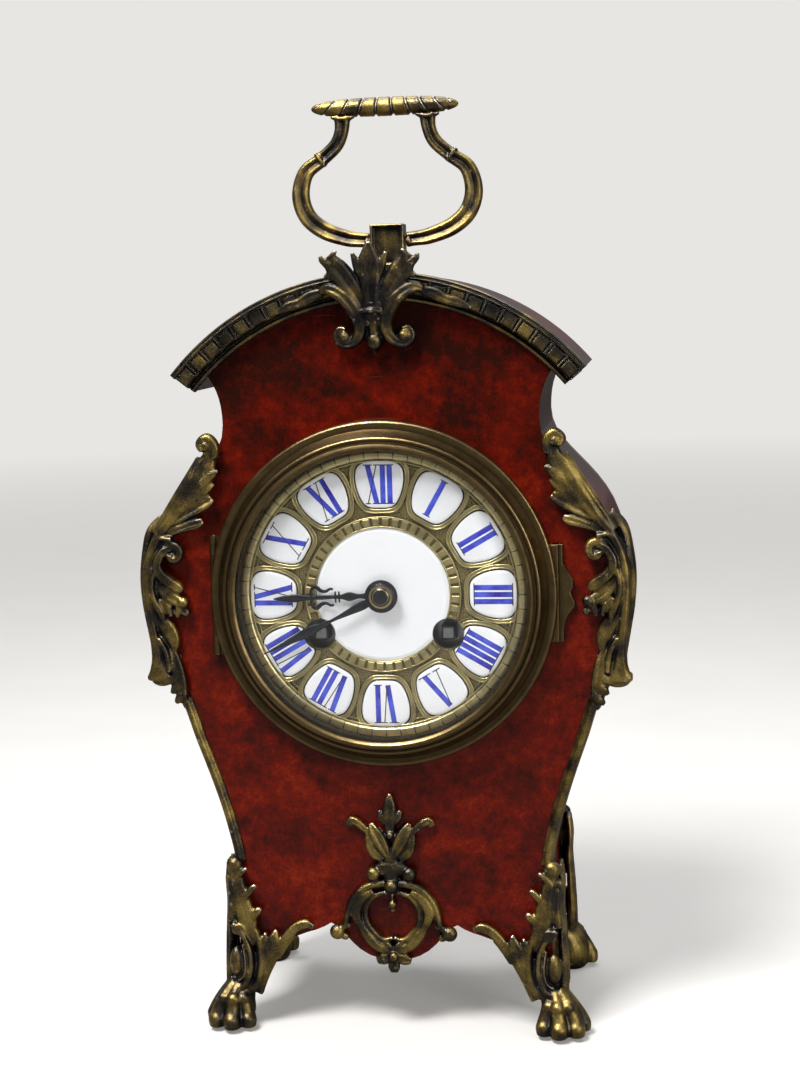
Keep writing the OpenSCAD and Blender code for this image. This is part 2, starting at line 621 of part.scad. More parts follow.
module minute_hand() color(black) dial_frame() rotate([0, 0, -minute_angle])
    slab(minute_f, minute_f + hand_t) difference() {
        union() {
            circle(4);
            polygon(smooth([[1, 3], [2.2, 5.5], [1.1, 12], [0.9, 16], [2, 20.5], [1.6, 25],
                [0.8, 31], [0, minute_len], [-0.8, 31], [-1.6, 25], [-2, 20.5], [-0.9, 16],
                [-1.1, 12], [-2.2, 5.5], [-1, 3]], 4));
        }
        circle(cannon_r);
    }

collet_f = minute_f + hand_t;
module hand_collet() color(black) dial_frame() rotate_extrude() polygon([[0, collet_f],
    [4.9, collet_f], [4.9, collet_f + 0.4], [3.9, collet_f + 0.7], [3.6, collet_f + 0.9],
    [3.6, collet_f + 1.2], [2.9, collet_f + 1.3], [2.2, collet_f + 1.8], [1, collet_f + 2.1],
    [0, collet_f + 2.2]]);

// Drum and plates

module movement_drum() color(brass) dial_frame() {
    ring(drum_r, drum_r + drum_t, back_f, ledge_f, $fn = 128);
    ring(drum_r - 1.6, drum_r + 0.1, plate_f, plate_f + 1, $fn = 128);
}

module arbor_holes(r_centre) {
    circle(r_centre, $fn = 32);
    both_sides() translate([wind_x, -wind_drop]) circle(wind_arbor_r + run_gap);
    translate(hammer_pos) circle(hammer_arbor_r + run_gap, $fn = 32);
    translate(inter_pos) circle(inter_arbor_r + run_gap, $fn = 32);
}

wind_arbor_r = 2.1;
hammer_pos = drum_r * [-0.817, 0.297];
hammer_arbor_r = 1;
inter_arbor_r = 0.8;
stud_r = 0.8;

module front_plate() color(brass) dial_frame() {
    slab(plate_f - plate_t, plate_f) difference() {
        circle(plate_r, $fn = 128);
        arbor_holes(arbor_r + run_gap);
        for (a = [45 : 90 : 315]) translate(polar(post_place, a)) circle(post_r, $fn = 32);
    }
    translate([0, motion_c, 0]) rod(stud_r, plate_f - 0.5, -0.4, $fn = 32);
}

module back_plate() color(brass) dial_frame() slab(back_plate_f, back_plate_f + plate_t) difference() {
    circle(plate_r, $fn = 128);
    arbor_holes(arbor_r + run_gap);
}

pillar_pos = plate_r * [[0, -0.846], [0.821, 0.323], [0.485, 0.746], [-0.485, 0.746]];
module plate_pillars() color(brass) dial_frame() for (p = pillar_pos)
    translate([p[0], p[1], back_plate_f + plate_t]) rotate_extrude() {
        g = plate_gap;
        polygon([[0, 0], [3, 0], [3, 2], [1.8, 4], [1.6, g / 2 - 2], [2.4, g / 2], [1.6, g / 2 + 2],
            [1.8, g - 4], [3, g - 2], [3, g], [0, g]]);
    }

// Wheels: slim straight sided teeth that leave the mesh free at every turn

function gear_line(teeth, m) = [for (i = [0 : teeth - 1]) let (p = 360 / teeth, r = teeth * m / 2)
    each [polar(r - 1.15 * m, (i - 0.27) * p), polar(r + 0.85 * m, (i - 0.09) * p),
        polar(r + 0.85 * m, (i + 0.09) * p), polar(r - 1.15 * m, (i + 0.27) * p)]];
module gear(teeth, m, f0, f1, bore, turn = 0) slab(f0, f1) difference() {
    rotate(turn) polygon(gear_line(teeth, m));
    circle(bore, $fn = 32);
}
// Wheel with five arms inside its rim
module armed_gear(teeth, m, f0, f1, bore, turn = 0) slab(f0, f1) difference() {
    rotate(turn) polygon(gear_line(teeth, m));
    circle(bore, $fn = 32);
    rim = teeth * m / 2 - 2.6 * m - 0.6;
    difference() {
        circle(rim);
        circle(max(bore + 1.2, rim * 0.3));
        for (i = [0 : 4]) rotate(72 * i) translate([0, -0.6]) square([rim + 1, 1.2]);
    }
}

cannon_teeth = 12;
minute_teeth = 36;
minute_pinion_teeth = 10;
hour_teeth = 40;
motion_m = 0.5;
motion_c = motion_m * (cannon_teeth + minute_teeth) / 2;
hour_m = 2 * motion_c / (minute_pinion_teeth + hour_teeth);
barrel_teeth = 80;
inter_pinion_teeth = 12;
inter_teeth = 60;
centre_pinion_teeth = 10;
module_share = 0.0104;
barrel_m = module_share * drum_r;
inter_m = module_share * drum_r;

motion_f0 = plate_f + 0.8;
motion_f1 = motion_f0 + 1.2;
hour_wheel_f0 = motion_f1 + 1;
hour_wheel_f1 = hour_wheel_f0 + 0.9;

module cannon_pinion() color(steel) dial_frame() difference() {
    union() {
        gear(cannon_teeth, motion_m, motion_f0 - 0.2, motion_f1 + 0.2, 0.4);
        rod(cannon_r, motion_f1, collet_f);
    }
    rod(arbor_r, -20, 20, $fn = 32);
}

module minute_wheel() color(brass) dial_frame() translate([0, motion_c, 0]) {
    gear(minute_teeth, motion_m, motion_f0, motion_f1, stud_r + run_gap, 270 + 180 / minute_teeth);
    gear(minute_pinion_teeth, hour_m, motion_f1, hour_wheel_f1 + 0.2, stud_r + run_gap, 270);
}

module hour_wheel() color(brass) dial_frame() difference() {
    union() {
        gear(hour_teeth, hour_m, hour_wheel_f0, hour_wheel_f1, 1, 90 + 180 / hour_teeth);
        rod(hour_pipe_r, hour_wheel_f0 - 0.4, hour_f);
        rod(hour_pipe_end_r, hour_wheel_f0, minute_f - move_gap);
    }
    rod(cannon_r + run_gap, -20, 20);
}

// The intermediate wheel stands where both its meshes run at their own distance
wind_dist = norm([wind_x, wind_drop]);
barrel_c = barrel_m * (barrel_teeth + inter_pinion_teeth) / 2;
inter_c = inter_m * (inter_teeth + centre_pinion_teeth) / 2;
along = (inter_c * inter_c - barrel_c * barrel_c + wind_dist * wind_dist) / (2 * wind_dist);
across = sqrt(inter_c * inter_c - along * along);
to_barrel = [wind_x, -wind_drop] / wind_dist;
inter_pos = along * to_barrel + across * [-to_barrel[1], to_barrel[0]];
inter_from_centre = atan2(inter_pos[1], inter_pos[0]);
inter_to_barrel = atan2(-wind_drop - inter_pos[1], wind_x - inter_pos[0]);

barrel_f1 = plate_f - plate_t - 1.2;
barrel_f0 = barrel_f1 - 13;
inter_wheel_f0 = barrel_f0 - 3;
module intermediate_wheel() color(brass) dial_frame() translate([inter_pos[0], inter_pos[1], 0]) {
    armed_gear(inter_teeth, inter_m, inter_wheel_f0, inter_wheel_f0 + 1, 0.4,
        inter_from_centre + 180 + 180 / inter_teeth);
    gear(inter_pinion_teeth, barrel_m, barrel_f0 - 0.6, barrel_f0 + 2, 0.4,
        inter_to_barrel);
    rod(1.4, inter_wheel_f0, barrel_f0, $fn = 32);
    rod(inter_arbor_r, back_plate_f, plate_f, $fn = 32);
}

module centre_arbor() color(steel) dial_frame() {
    rod(arbor_r, back_plate_f, collet_f, $fn = 32);
    gear(centre_pinion_teeth, inter_m, inter_wheel_f0 - 0.4, inter_wheel_f0 + 1.4, 0.4,
        inter_from_centre);
}

barrel_body_r = barrel_m * (barrel_teeth / 2 - 1.15) - 0.9;
module spring_barrel(turn) {
    translate([wind_x, -wind_drop, 0]) difference() {
        union() {
            gear(barrel_teeth, barrel_m, barrel_f0, barrel_f0 + 1.5, 1, turn);
            rod(barrel_body_r, barrel_f0 + 1, barrel_f1 - 0.5, $fn = 96);
            rod(barrel_body_r - 1.4, barrel_f0 + 2, barrel_f1, $fn = 96);
        }
        rod(wind_arbor_r + run_gap, -90, 0);
    }
}
module going_barrel() color(brass) dial_frame()
    spring_barrel(inter_to_barrel + 180 + 180 / barrel_teeth);
module strike_barrel() color(brass) dial_frame() mirror([1, 0, 0]) spring_barrel(0);

square_end_f = 1.4;
ratchet_f0 = plate_f + 0.5;
ratchet_f1 = ratchet_f0 + 1.6;
ratchet_r = 8;
ratchet_teeth = 24;
module winding_arbor() translate([wind_x, -wind_drop, 0]) {
    rod(wind_arbor_r, back_plate_f, ratchet_f0);
    block(-wind_square / 2, wind_square / 2, -wind_square / 2, wind_square / 2, ratchet_f0,
        square_end_f);
}
module going_arbor() color(steel) dial_frame() winding_arbor();
module strike_arbor() color(steel) dial_frame() mirror([1, 0, 0]) winding_arbor();

module ratchet() translate([wind_x, -wind_drop, 0]) slab(ratchet_f0, ratchet_f1) difference() {
    polygon([for (i = [0 : ratchet_teeth - 1]) let (p = 360 / ratchet_teeth)
        each [polar(ratchet_r, i * p), polar(ratchet_r - 1, (i + 0.12) * p)]]);
    square(wind_square, center = true);
}
module going_ratchet() color(steel) dial_frame() ratchet();
module strike_ratchet() color(steel) dial_frame() mirror([1, 0, 0]) ratchet();

module ratchet_clicks() color(steel) dial_frame() both_sides() translate([wind_x, -wind_drop, 0]) {
    slab(plate_f, ratchet_f1) difference() {
        polygon(smooth([[10.6, 0.6], [13.4, -0.6], [14.6, 2], [13.2, 4.6], [10.4, 5.2],
            [8, 4.4], [8.6, 3]]));
        circle(ratchet_r + 0.2);
    }
    rod_at(12.4, 2, 1.1, plate_f, ratchet_f1 + 0.5);
}
module rod_at(x, y, r, f0, f1) translate([x, y, 0]) rod(r, f0, f1, $fn = 32);

// Platform with the balance, on the back plate

platform_share = 0.66;
platform_z = platform_share * plate_r;
platform_half = 10;
bell_clear = 0.5;
platform_post = 3;
platform_f0 = back_plate_f - platform_post - 1.5;
balance_f = platform_f0 - 2.6;
cock_f0 = balance_f - 2.4;
staff_r = 0.4;
module platform_frame() dial_frame() translate([0, platform_z, 0]) children();

module platform_plate() color(brass) platform_frame() {
    slab(platform_f0, platform_f0 + 1.5) difference() {
        translate([-platform_half, -platform_half]) square(2 * platform_half);
        circle(staff_r + run_gap, $fn = 32);
    }
    for (x = [-8, 8]) for (y = [-8, 8]) rod_at(x, y, 1.2, platform_f0 + 1.4, back_plate_f);
}
module balance_wheel() color(brass) platform_frame() {
    slab(balance_f, balance_f + 0.8) difference() {
        circle(balance_r, $fn = 96);
        difference() {
            circle(balance_r - 1);
            for (i = [0 : 2]) rotate(120 * i) translate([0, -0.5]) square([balance_r, 1]);
            circle(1.4);
        }
    }
    rod(staff_r, cock_f0 + 0.2, platform_f0 + 1.2, $fn = 32);
    slab(balance_f - 0.9, balance_f - 0.5)
        polygon(band([for (i = [0 : 72]) polar(1 + 3 * i / 72, 15 * i)], 0.2));
    rod(1.2, balance_f - 0.9, balance_f + 0.1, $fn = 32);
}
module balance_cock() color(brass) platform_frame() difference() {
    union() {
        slab(cock_f0, cock_f0 + 1) polygon(smooth([[-3, -9.6], [3, -9.6], [2.6, -5], [2.2, 0],
            [1.4, 1.8], [0, 2.4], [-1.4, 1.8], [-2.2, 0], [-2.6, -5]]));
        block(-2.8, 2.8, -9.6, -balance_r - 0.5, cock_f0 + 0.5, platform_f0);
    }
    rod(staff_r + run_gap, -90, 0, $fn = 32);
}

// Bell, its stand and the hammer

bell_z = platform_z - platform_half - bell_clear - bell_r;
bell_rim_f = back_plate_f - 6;
bell_top_f = bell_rim_f - 10;
bell_t = 1;
function dome(r, h) = [for (a = [0 : 7.5 : 90]) [r * pow(cos(a), 0.8), -h * pow(sin(a), 0.9)]];
module bell() color(steel) dial_frame() translate([0, bell_z, bell_rim_f]) difference() {
    rotate_extrude($fn = 128) polygon(concat(dome(bell_r, 10), reversed(dome(bell_r - bell_t, 10 - bell_t))));
    rod(1.2, -20, 5, $fn = 32);
}
module bell_stand() color(steel) dial_frame() translate([0, bell_z, 0]) {
    rod(1.2, bell_top_f - 1, back_plate_f, $fn = 32);
    rod(2.6, bell_top_f + bell_t + 0.05, bell_top_f + bell_t + 2, $fn = 32);
    rod(2.2, bell_top_f - 1.4, bell_top_f, $fn = 6);
}
head_x = -bell_r - move_gap - 2.5;
module strike_hammer() color(steel) dial_frame() {
    translate([hammer_pos[0], hammer_pos[1], 0]) {
        rod(hammer_arbor_r, bell_rim_f - 3, plate_f, $fn = 32);
        rod(2, back_plate_f - 3.6, back_plate_f - 0.4, $fn = 32);
    }
    slab(bell_rim_f - 2.5, bell_rim_f - 1) polygon(band([hammer_pos + [0, 1.5], hammer_pos,
        [head_x - 1, bell_z + 4], [head_x, bell_z]], 2));
    translate([head_x, bell_z, bell_rim_f - 1.7]) rotate([0, 90, 0])
        cylinder(r = 2.4, h = 5, center = true, $fn = 32);
}

// Back ring and the glazed back door with its knob

back_hinge_x = bezel_r - 5;
back_ring_t = 2.8;
door_f1 = back_f - back_ring_t - 0.2;
door_f0 = door_f1 - 3.2;
door_r = back_hinge_x + 0.6;
door_sight_r = drum_r - 4.4;
knob_x = door_r - 3;
knob_seat_f = door_f1 - 2.2;
door_hinge_f = back_f - 1.5;

module back_ring() color(brass) dial_frame() difference() {
    union() {
        ring(drum_r + drum_t + 0.1, back_hinge_x - 0.5, back_f - back_ring_t, back_f, $fn = 128);
        both_sides_up() translate([back_hinge_x, 0, door_hinge_f]) {
            barrel(8.2, 13, knuckle_r);
            block(-5, 0, 8.2, 13, -0.8, 1.5);
        }
    }
    translate([back_hinge_x, 0, door_hinge_f]) barrel(-40, 40, hinge_pin_r + run_gap);
    block(back_hinge_x - knuckle_r - move_gap, back_hinge_x + 4, -8.2, 8.2, back_f - 6, back_f + 0.01);
}
module back_door_pin() color(steel) dial_frame() translate([back_hinge_x, 0, door_hinge_f])
    barrel(-13.3, 13.3, hinge_pin_r);
module back_door() color(brass) dial_frame() difference() {
    union() {
        rotate_extrude($fn = 128) polygon(concat([[door_sight_r + 1, door_f1], [door_r, door_f1],
            [door_r, door_f1 - 1]],
            [for (a = [-20 : -20 : -120]) [door_r - 2.4, door_f1 - 1.4] + polar(1.6, a)],
            [[door_r - 5, door_f1 - 2.4], [door_sight_r + 1.5, door_f0],
            [door_sight_r, door_f0 + 0.4], [door_sight_r, door_f1 - 1.6],
            [door_sight_r + 1, door_f1 - 1.6]]));
        translate([back_hinge_x, 0, door_hinge_f]) {
            barrel(-8, 8, knuckle_r);
            block(-1.1, 0.4, -7, 7, door_f1 - door_hinge_f - 0.2, 0);
        }
    }
    translate([back_hinge_x, 0, door_hinge_f]) barrel(-40, 40, hinge_pin_r + run_gap);
    translate([-knob_x, 0, 0]) rod(1, door_f0 - 3, knob_seat_f, $fn = 48);
}
module back_door_glass() color(clear) dial_frame() rod(door_sight_r + 1, door_f1 - 1.6, door_f1, $fn = 128);
module back_door_knob() color(brass) dial_frame() translate([-knob_x, 0, back_f - knob_reach])
    rotate_extrude($fn = 48) polygon([[0, 0], [1.6, 0], [2.4, 0.6], [2.4, 1.6], [1.4, 2.4],
        [1, 3.2], [1, knob_reach + knob_seat_f - back_f], [0, knob_reach + knob_seat_f - back_f]]);

front_board();
back_board();
side_left();
side_right();
roof_board();
floor_board();
roof_moulding();
crest_mount();
handle_staple();
shoulder_mount_left();
shoulder_mount_right();
edge_moulding_left();
edge_moulding_right();
foot_front_left();
foot_front_right();
foot_back_left();
foot_back_right();
apron_mount();
handle_loop();
handle_grip();
bezel_base();
bezel_hinge_pin();
bezel_ring();
bezel_glass();
dial_plate();
dial_centre();
numeral_cartouches();
hour_hand();
minute_hand();
hand_collet();
movement_drum();
front_plate();
back_plate();
plate_pillars();
cannon_pinion();
centre_arbor();
hour_wheel();
minute_wheel();
intermediate_wheel();
going_barrel();
strike_barrel();
going_arbor();
strike_arbor();
going_ratchet();
strike_ratchet();
ratchet_clicks();
platform_plate();
balance_wheel();
balance_cock();
bell();
bell_stand();
strike_hammer();
back_ring();
back_door();
back_door_glass();
back_door_knob();
back_door_pin();
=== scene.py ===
import json
import math

import bmesh
import bpy
from mathutils import Matrix, Vector


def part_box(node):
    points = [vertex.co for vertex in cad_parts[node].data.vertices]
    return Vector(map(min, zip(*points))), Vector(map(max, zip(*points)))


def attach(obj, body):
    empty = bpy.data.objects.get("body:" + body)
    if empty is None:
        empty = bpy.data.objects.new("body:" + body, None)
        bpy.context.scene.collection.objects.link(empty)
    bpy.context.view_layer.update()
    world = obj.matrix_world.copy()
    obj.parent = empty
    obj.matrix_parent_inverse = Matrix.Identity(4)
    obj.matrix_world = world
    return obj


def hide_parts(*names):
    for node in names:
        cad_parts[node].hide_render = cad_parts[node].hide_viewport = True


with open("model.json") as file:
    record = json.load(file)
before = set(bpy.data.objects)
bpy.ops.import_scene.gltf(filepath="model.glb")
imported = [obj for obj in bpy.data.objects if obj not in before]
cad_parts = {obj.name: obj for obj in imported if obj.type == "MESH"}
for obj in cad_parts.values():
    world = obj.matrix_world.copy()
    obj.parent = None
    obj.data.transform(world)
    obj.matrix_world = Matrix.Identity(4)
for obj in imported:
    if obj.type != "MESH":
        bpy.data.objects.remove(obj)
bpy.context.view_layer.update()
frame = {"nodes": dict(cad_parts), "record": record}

MM = 0.001

# Places read from the frame, and four sizes it doesn't give, in millimetres on the clock's face

FRONT_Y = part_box("front_board")[0].y / MM
BACK_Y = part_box("back_board")[1].y / MM
ROOF_CENTRE_Z = 151       # centre of the roof's arch
DIAL_Z = sum(corner.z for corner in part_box("dial_plate")) / 2 / MM
DIAL_R = (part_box("dial_plate")[1].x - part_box("dial_plate")[0].x) / 2 / MM
DIAL_F = FRONT_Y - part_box("dial_centre")[1].y / MM
CENTRE_R = (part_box("dial_centre")[1].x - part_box("dial_centre")[0].x) / 2 / MM
WIND_SQUARE = 4.2         # across a winding square
WIND_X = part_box("going_arbor")[1].x / MM - WIND_SQUARE / 2
WIND_Z = (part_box("going_arbor")[0].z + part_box("going_arbor")[1].z) / 2 / MM - DIAL_Z
WIND_R = 4.6              # hole round a winding square
BEZEL_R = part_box("bezel_ring")[1].x / MM
PIVOT_R = 2.0             # the handle's pivot bar
PIVOT_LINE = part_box("handle_loop")[0].z / MM + PIVOT_R
GRIP_LOW, GRIP_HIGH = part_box("handle_grip")


# Camera and light

PHOTO_SIZE = (800, 1085)
FOCAL_PIXELS = 1818
CAMERA_PLACE = (0.0831, FRONT_Y * MM - 0.5289, 0.2245)
CAMERA_YAW, CAMERA_PITCH, CAMERA_ROLL = (math.radians(a) for a in (8.375, 7.805, -1.639))
PALE = (0.80, 0.79, 0.77, 1)


def make_camera():
    camera = bpy.data.objects.new("camera", bpy.data.cameras.new("camera"))
    camera.data.sensor_width = 36
    camera.data.lens = FOCAL_PIXELS * camera.data.sensor_width / max(PHOTO_SIZE)
    camera.data.clip_start = 0.01
    ahead = Vector((-math.sin(CAMERA_YAW) * math.cos(CAMERA_PITCH),
                    math.cos(CAMERA_YAW) * math.cos(CAMERA_PITCH), -math.sin(CAMERA_PITCH)))
    level = ahead.cross(Vector((0, 0, 1))).normalized()
    right = Matrix.Rotation(CAMERA_ROLL, 3, -ahead) @ level
    above = right.cross(ahead)
    turn = Matrix((right, above, -ahead)).transposed().to_4x4()
    camera.matrix_world = Matrix.Translation(CAMERA_PLACE) @ turn
    bpy.context.collection.objects.link(camera)
    bpy.context.scene.camera = camera


def area_light(name, place, aim, size, power, colour=(1, 1, 1)):
    light = bpy.data.objects.new(name, bpy.data.lights.new(name, "AREA"))
    light.data.shape = "RECTANGLE"
    light.data.size, light.data.size_y = size
    light.data.energy = power
    light.data.color = colour
    light.location = place
    light.rotation_euler = (Vector(aim) - Vector(place)).to_track_quat("-Z", "Y").to_euler()
    bpy.context.collection.objects.link(light)


def make_light():
    area_light("key_light", (-0.25, -0.50, 0.98), (0, 0, 0.13), (0.34, 0.34), 25)
    area_light("fill_light", (0.75, -0.75, 0.35), (0, 0, 0.13), (0.30, 0.50), 4.5, (1, 0.97, 0.93))
    area_light("top_light", (0.05, 0.20, 0.85), (0, 0, 0.15), (0.6, 0.4), 5, (0.94, 0.97, 1))


# Looks written as expressions

def feed(tree, slot, value):
    """Links a value into a socket, or sets a number, a place or a colour there."""
    if isinstance(value, Value):
        tree.links.new(value.socket, slot)
    elif slot.type == "RGBA":
        slot.default_value = (*value[:3], 1)
    else:
        slot.default_value = value


class Value:
    """A node's output that takes part in plain arithmetic."""

    def __init__(self, tree, socket):
        self.tree, self.socket = tree, socket

    def maths(self, operation, *others):
        node = self.tree.nodes.new("ShaderNodeMath")
        node.operation = operation
        for slot, value in zip(node.inputs, others):
            feed(self.tree, slot, value)
        return Value(self.tree, node.outputs[0])

    def size(self):
        """How far it is from nought."""
        return self.maths("ABSOLUTE", self)

    def at_least(self, other):
        return self.maths("MAXIMUM", self, other)

    def __add__(self, other):
        return self.maths("ADD", self, other)

    def __sub__(self, other):
        return self.maths("SUBTRACT", self, other)

    def __mul__(self, other):
        return self.maths("MULTIPLY", self, other)

    def __radd__(self, other):
        return self.maths("ADD", other, self)

    def __rsub__(self, other):
        return self.maths("SUBTRACT", other, self)

    def __rmul__(self, other):
        return self.maths("MULTIPLY", other, self)


class Looks:
    """The nodes of a material or of the world."""

    def __init__(self, tree):
        self.tree = tree

    def node(self, kind, inputs=None, output=0, ramp=None, **settings):
        """Any node: its settings first, then its sockets' values or links."""
        node = self.tree.nodes.new("ShaderNode" + kind)
        for name, value in settings.items():
            setattr(node, name, value)
        if ramp:
            while len(node.color_ramp.elements) < len(ramp):
                node.color_ramp.elements.new(0.5)
            for element, (place, colour) in zip(node.color_ramp.elements, ramp):
                element.position = place
                element.color = (*colour, 1)
        for name, value in (inputs or {}).items():
            feed(self.tree, node.inputs[name], value)
        return Value(self.tree, node.outputs[output])

    def place(self, scale=(1, 1, 1), centre=(0, 0, 0)):
        """Object coordinates in millimetres, stretched by scale about a centre."""
        metres = self.node("TexCoord", output="Object")
        return self.node("Mapping", {
            "Vector": metres,
            "Scale": tuple(s / MM for s in scale),
            "Location": tuple(-s * c for s, c in zip(scale, centre))})

    def axis(self, letter, place=None):
        """One coordinate of a place."""
        return self.node("SeparateXYZ", {"Vector": place or self.place()}, output=letter)

    def length(self, place):
        return self.node("VectorMath", {"Vector": place}, output="Value", operation="LENGTH")

    def dot(self, first, second):
        return self.node("VectorMath", {0: first, 1: second}, output="Value",
                         operation="DOT_PRODUCT")

    def openness(self, reach, alone=True):
        """0 in a hollow and 1 in the open, judged within reach millimetres, by the piece alone."""
        return self.node("AmbientOcclusion", {"Distance": reach * MM}, output="AO",
                         samples=6, only_local=alone)

    def noise(self, size, detail=3.0, rough=0.55, place=None, twist=0.0):
        """Noise from 0 to 1 whose blots are about size millimetres wide."""
        return self.node("TexNoise", {
            "Vector": place or self.place(), "Scale": 1 / size, "Detail": detail,
            "Roughness": rough, "Distortion": twist})

    def shades(self, value, stops):
        return self.node("ValToRGB", {"Fac": value}, ramp=stops)

    def mask(self, value, low, high):
        """0 below low and 1 above high."""
        return self.node("MapRange", {"Value": value, "From Min": low, "From Max": high},
                         clamp=True)

    def band(self, value, low, high, soft=0.1):
        """1 between low and high and 0 elsewhere."""
        return self.mask(value, low, low + soft) * (1 - self.mask(value, high, high + soft))

    def blend(self, amount, first, second):
        """Second colour over first by amount."""
        return self.node("Mix", {0: amount, 6: first, 7: second}, output=2, data_type="RGBA")

    def bump(self, height, depth):
        """Surface relief: height 0 to 1 stands for depth millimetres."""
        return self.node("Bump", {"Height": height, "Distance": depth * MM})


class Finish(Looks):
    """A material with its main shader."""

    def __init__(self, name):
        self.material = bpy.data.materials.new(name)
        self.material.use_nodes = True
        super().__init__(self.material.node_tree)
        self.shader = self.tree.nodes["Principled BSDF"]

    def set(self, **looks):
        names = {"colour": "Base Color", "roughness": "Roughness", "metallic": "Metallic",
                 "coat": "Coat Weight", "coat_roughness": "Coat Roughness", "alpha": "Alpha",
                 "normal": "Normal", "ior": "IOR", "glow": "Emission Color",
                 "glow_strength": "Emission Strength"}
        for name, value in looks.items():
            feed(self.tree, self.shader.inputs[names[name]], value)
        return self.material


# Finishes

def tortoiseshell():
    """Red shell with painted shade at the crown under the moulding, brown and orange clouds, flecks
    and fine scratches.
    """
    f = Finish("tortoiseshell")
    arch = f.length(f.place((1, 0, 1), (0, 0, ROOF_CENTRE_Z)))
    # Painted shade: the shell is darkened below the roof's arch, where the moulding shades it.
    crown_painted_shade = f.mask(arch, 30, 64) * f.mask(f.axis("Z"), 160, 182)
    cloud = f.noise(15, 3, 0.5, f.place((0.9, 1, 1.1)), 0.4)
    spots = f.noise(3.2, 3, 0.55)
    fleck = f.noise(0.8, 2, 0.5)
    depth = cloud * 0.5 + spots * 0.34 + fleck * 0.16 - crown_painted_shade * 0.115
    shell = f.shades(depth, ((0.34, (0.012, 0.002, 0.001)), (0.45, (0.038, 0.0022, 0.0007)),
                             (0.54, (0.068, 0.0030, 0.0006)), (0.68, (0.118, 0.0095, 0.0009))))
    lines = f.noise(1.1, 2, 0.5, f.place((0.012, 0.5, 1)), 1.5)
    scratch = f.mask(lines, 0.735, 0.76) * f.mask(f.noise(25), 0.5, 0.62)
    wave = f.noise(30, 2)
    return f.set(
        colour=f.blend(scratch * 0.3, shell, (0.30, 0.14, 0.09)),
        roughness=0.3 + scratch * 0.3 + spots * 0.08, ior=1.12,
        coat=0.2, coat_roughness=0.06,
        normal=f.bump(wave + scratch * 0.02 + fleck * 0.01, 0.3))


def dark_wood():
    f = Finish("dark_wood")
    grain = f.noise(1.6, 5, 0.6, f.place((1, 1, 0.09)), 0.8)
    pores = f.noise(0.35, 2, 0.5, f.place((1, 1, 0.05)))
    tone = f.shades(grain, ((0.3, (0.022, 0.008, 0.004)), (0.55, (0.06, 0.02, 0.009)),
                            (0.75, (0.11, 0.045, 0.02))))
    return f.set(colour=f.blend(f.mask(pores, 0.6, 0.7) * 0.6, tone, (0.012, 0.005, 0.003)),
                 roughness=0.38 + grain * 0.15, coat=0.25, coat_roughness=0.3,
                 normal=f.bump(grain * 0.6 + pores * 0.4, 0.06))


def bronze_looks(f, shade, edge, gilding_and_shade):
    """Dark bronze: hollows darkened to black as painted shade, grey-brown sides, gilt faces, and
    ridges bright from rubbing and a painted highlight.
    """
    patch = f.mask(f.noise(7, 3, 0.5), 0.35, 0.65)
    grit = f.noise(0.45, 3, 0.65)
    # Wear and painted shade: openness darkens the hollows to black as painted shade, patches and
    # grit are wear, and the offset sets how gilt the bronze reads, lowered for the crest as painted
    # shade.
    wear_and_shade = shade + (patch - 0.5) * 0.3 + (grit - 0.5) * 0.5 + gilding_and_shade
    metal = f.shades(wear_and_shade, ((0.28, (0.004, 0.004, 0.005)), (0.50, (0.026, 0.025, 0.028)),
                            (0.66, (0.070, 0.056, 0.036)), (0.80, (0.20, 0.142, 0.042)),
                            (1.0, (0.42, 0.31, 0.10))))
    # Bright ridges: partly rubbed gilt and partly a painted highlight in a pale silvery colour.
    rubbed_and_highlit = f.mask(edge + (grit - 0.5) * 0.2, 0.35, 0.8)
    return f.set(colour=f.blend(rubbed_and_highlit * 0.5, metal, (0.55, 0.49, 0.37)),
                 metallic=f.mask(shade, 0.2, 0.7), roughness=0.27 + patch * 0.1 + grit * 0.08,
                 normal=f.bump(grit, 0.11))


def worn_and_shaded_bronze(name="worn_and_shaded_bronze", gilding_and_shade=-0.26):
    """Castings: their own curvature shows where the ridges are."""
    f = Finish(name)
    shade = f.mask(f.openness(2.6), 0.1, 1.0)
    edge = f.mask(f.node("NewGeometry", output="Pointiness"), 0.505, 0.56)
    return bronze_looks(f, shade, edge, gilding_and_shade)


def smooth_bronze(name="smooth_bronze", gilding_and_shade=-0.22):
    """Plain bronze parts: a rounded normal finds their edges."""
    f = Finish(name)
    shade = f.mask(f.openness(2.0), 0.1, 1.0)
    rounded = f.node("Bevel", {"Radius": 0.35 * MM}, samples=4)
    turned = 1 - f.dot(rounded, f.node("NewGeometry", output="Normal"))
    return bronze_looks(f, shade, f.mask(turned, 0.02, 0.2), gilding_and_shade)


def aged_brass(name, pale, dark, rough, reach):
    """Brass that has gone dark in its hollows."""
    f = Finish(name)
    patch = f.noise(5, 4, 0.62)
    grit = f.noise(0.5, 2, 0.6)
    clean = f.mask(f.openness(reach) + (patch - 0.5) * 0.5, 0.5, 0.95)
    tone = f.blend(clean, dark, f.blend(f.mask(patch, 0.42, 0.64) * 0.7, pale,
                                        tuple(0.55 * c for c in pale)))
    return f.set(colour=tone, metallic=1.0, roughness=rough + grit * 0.14,
                 normal=f.bump(grit + patch * 0.4, 0.05))


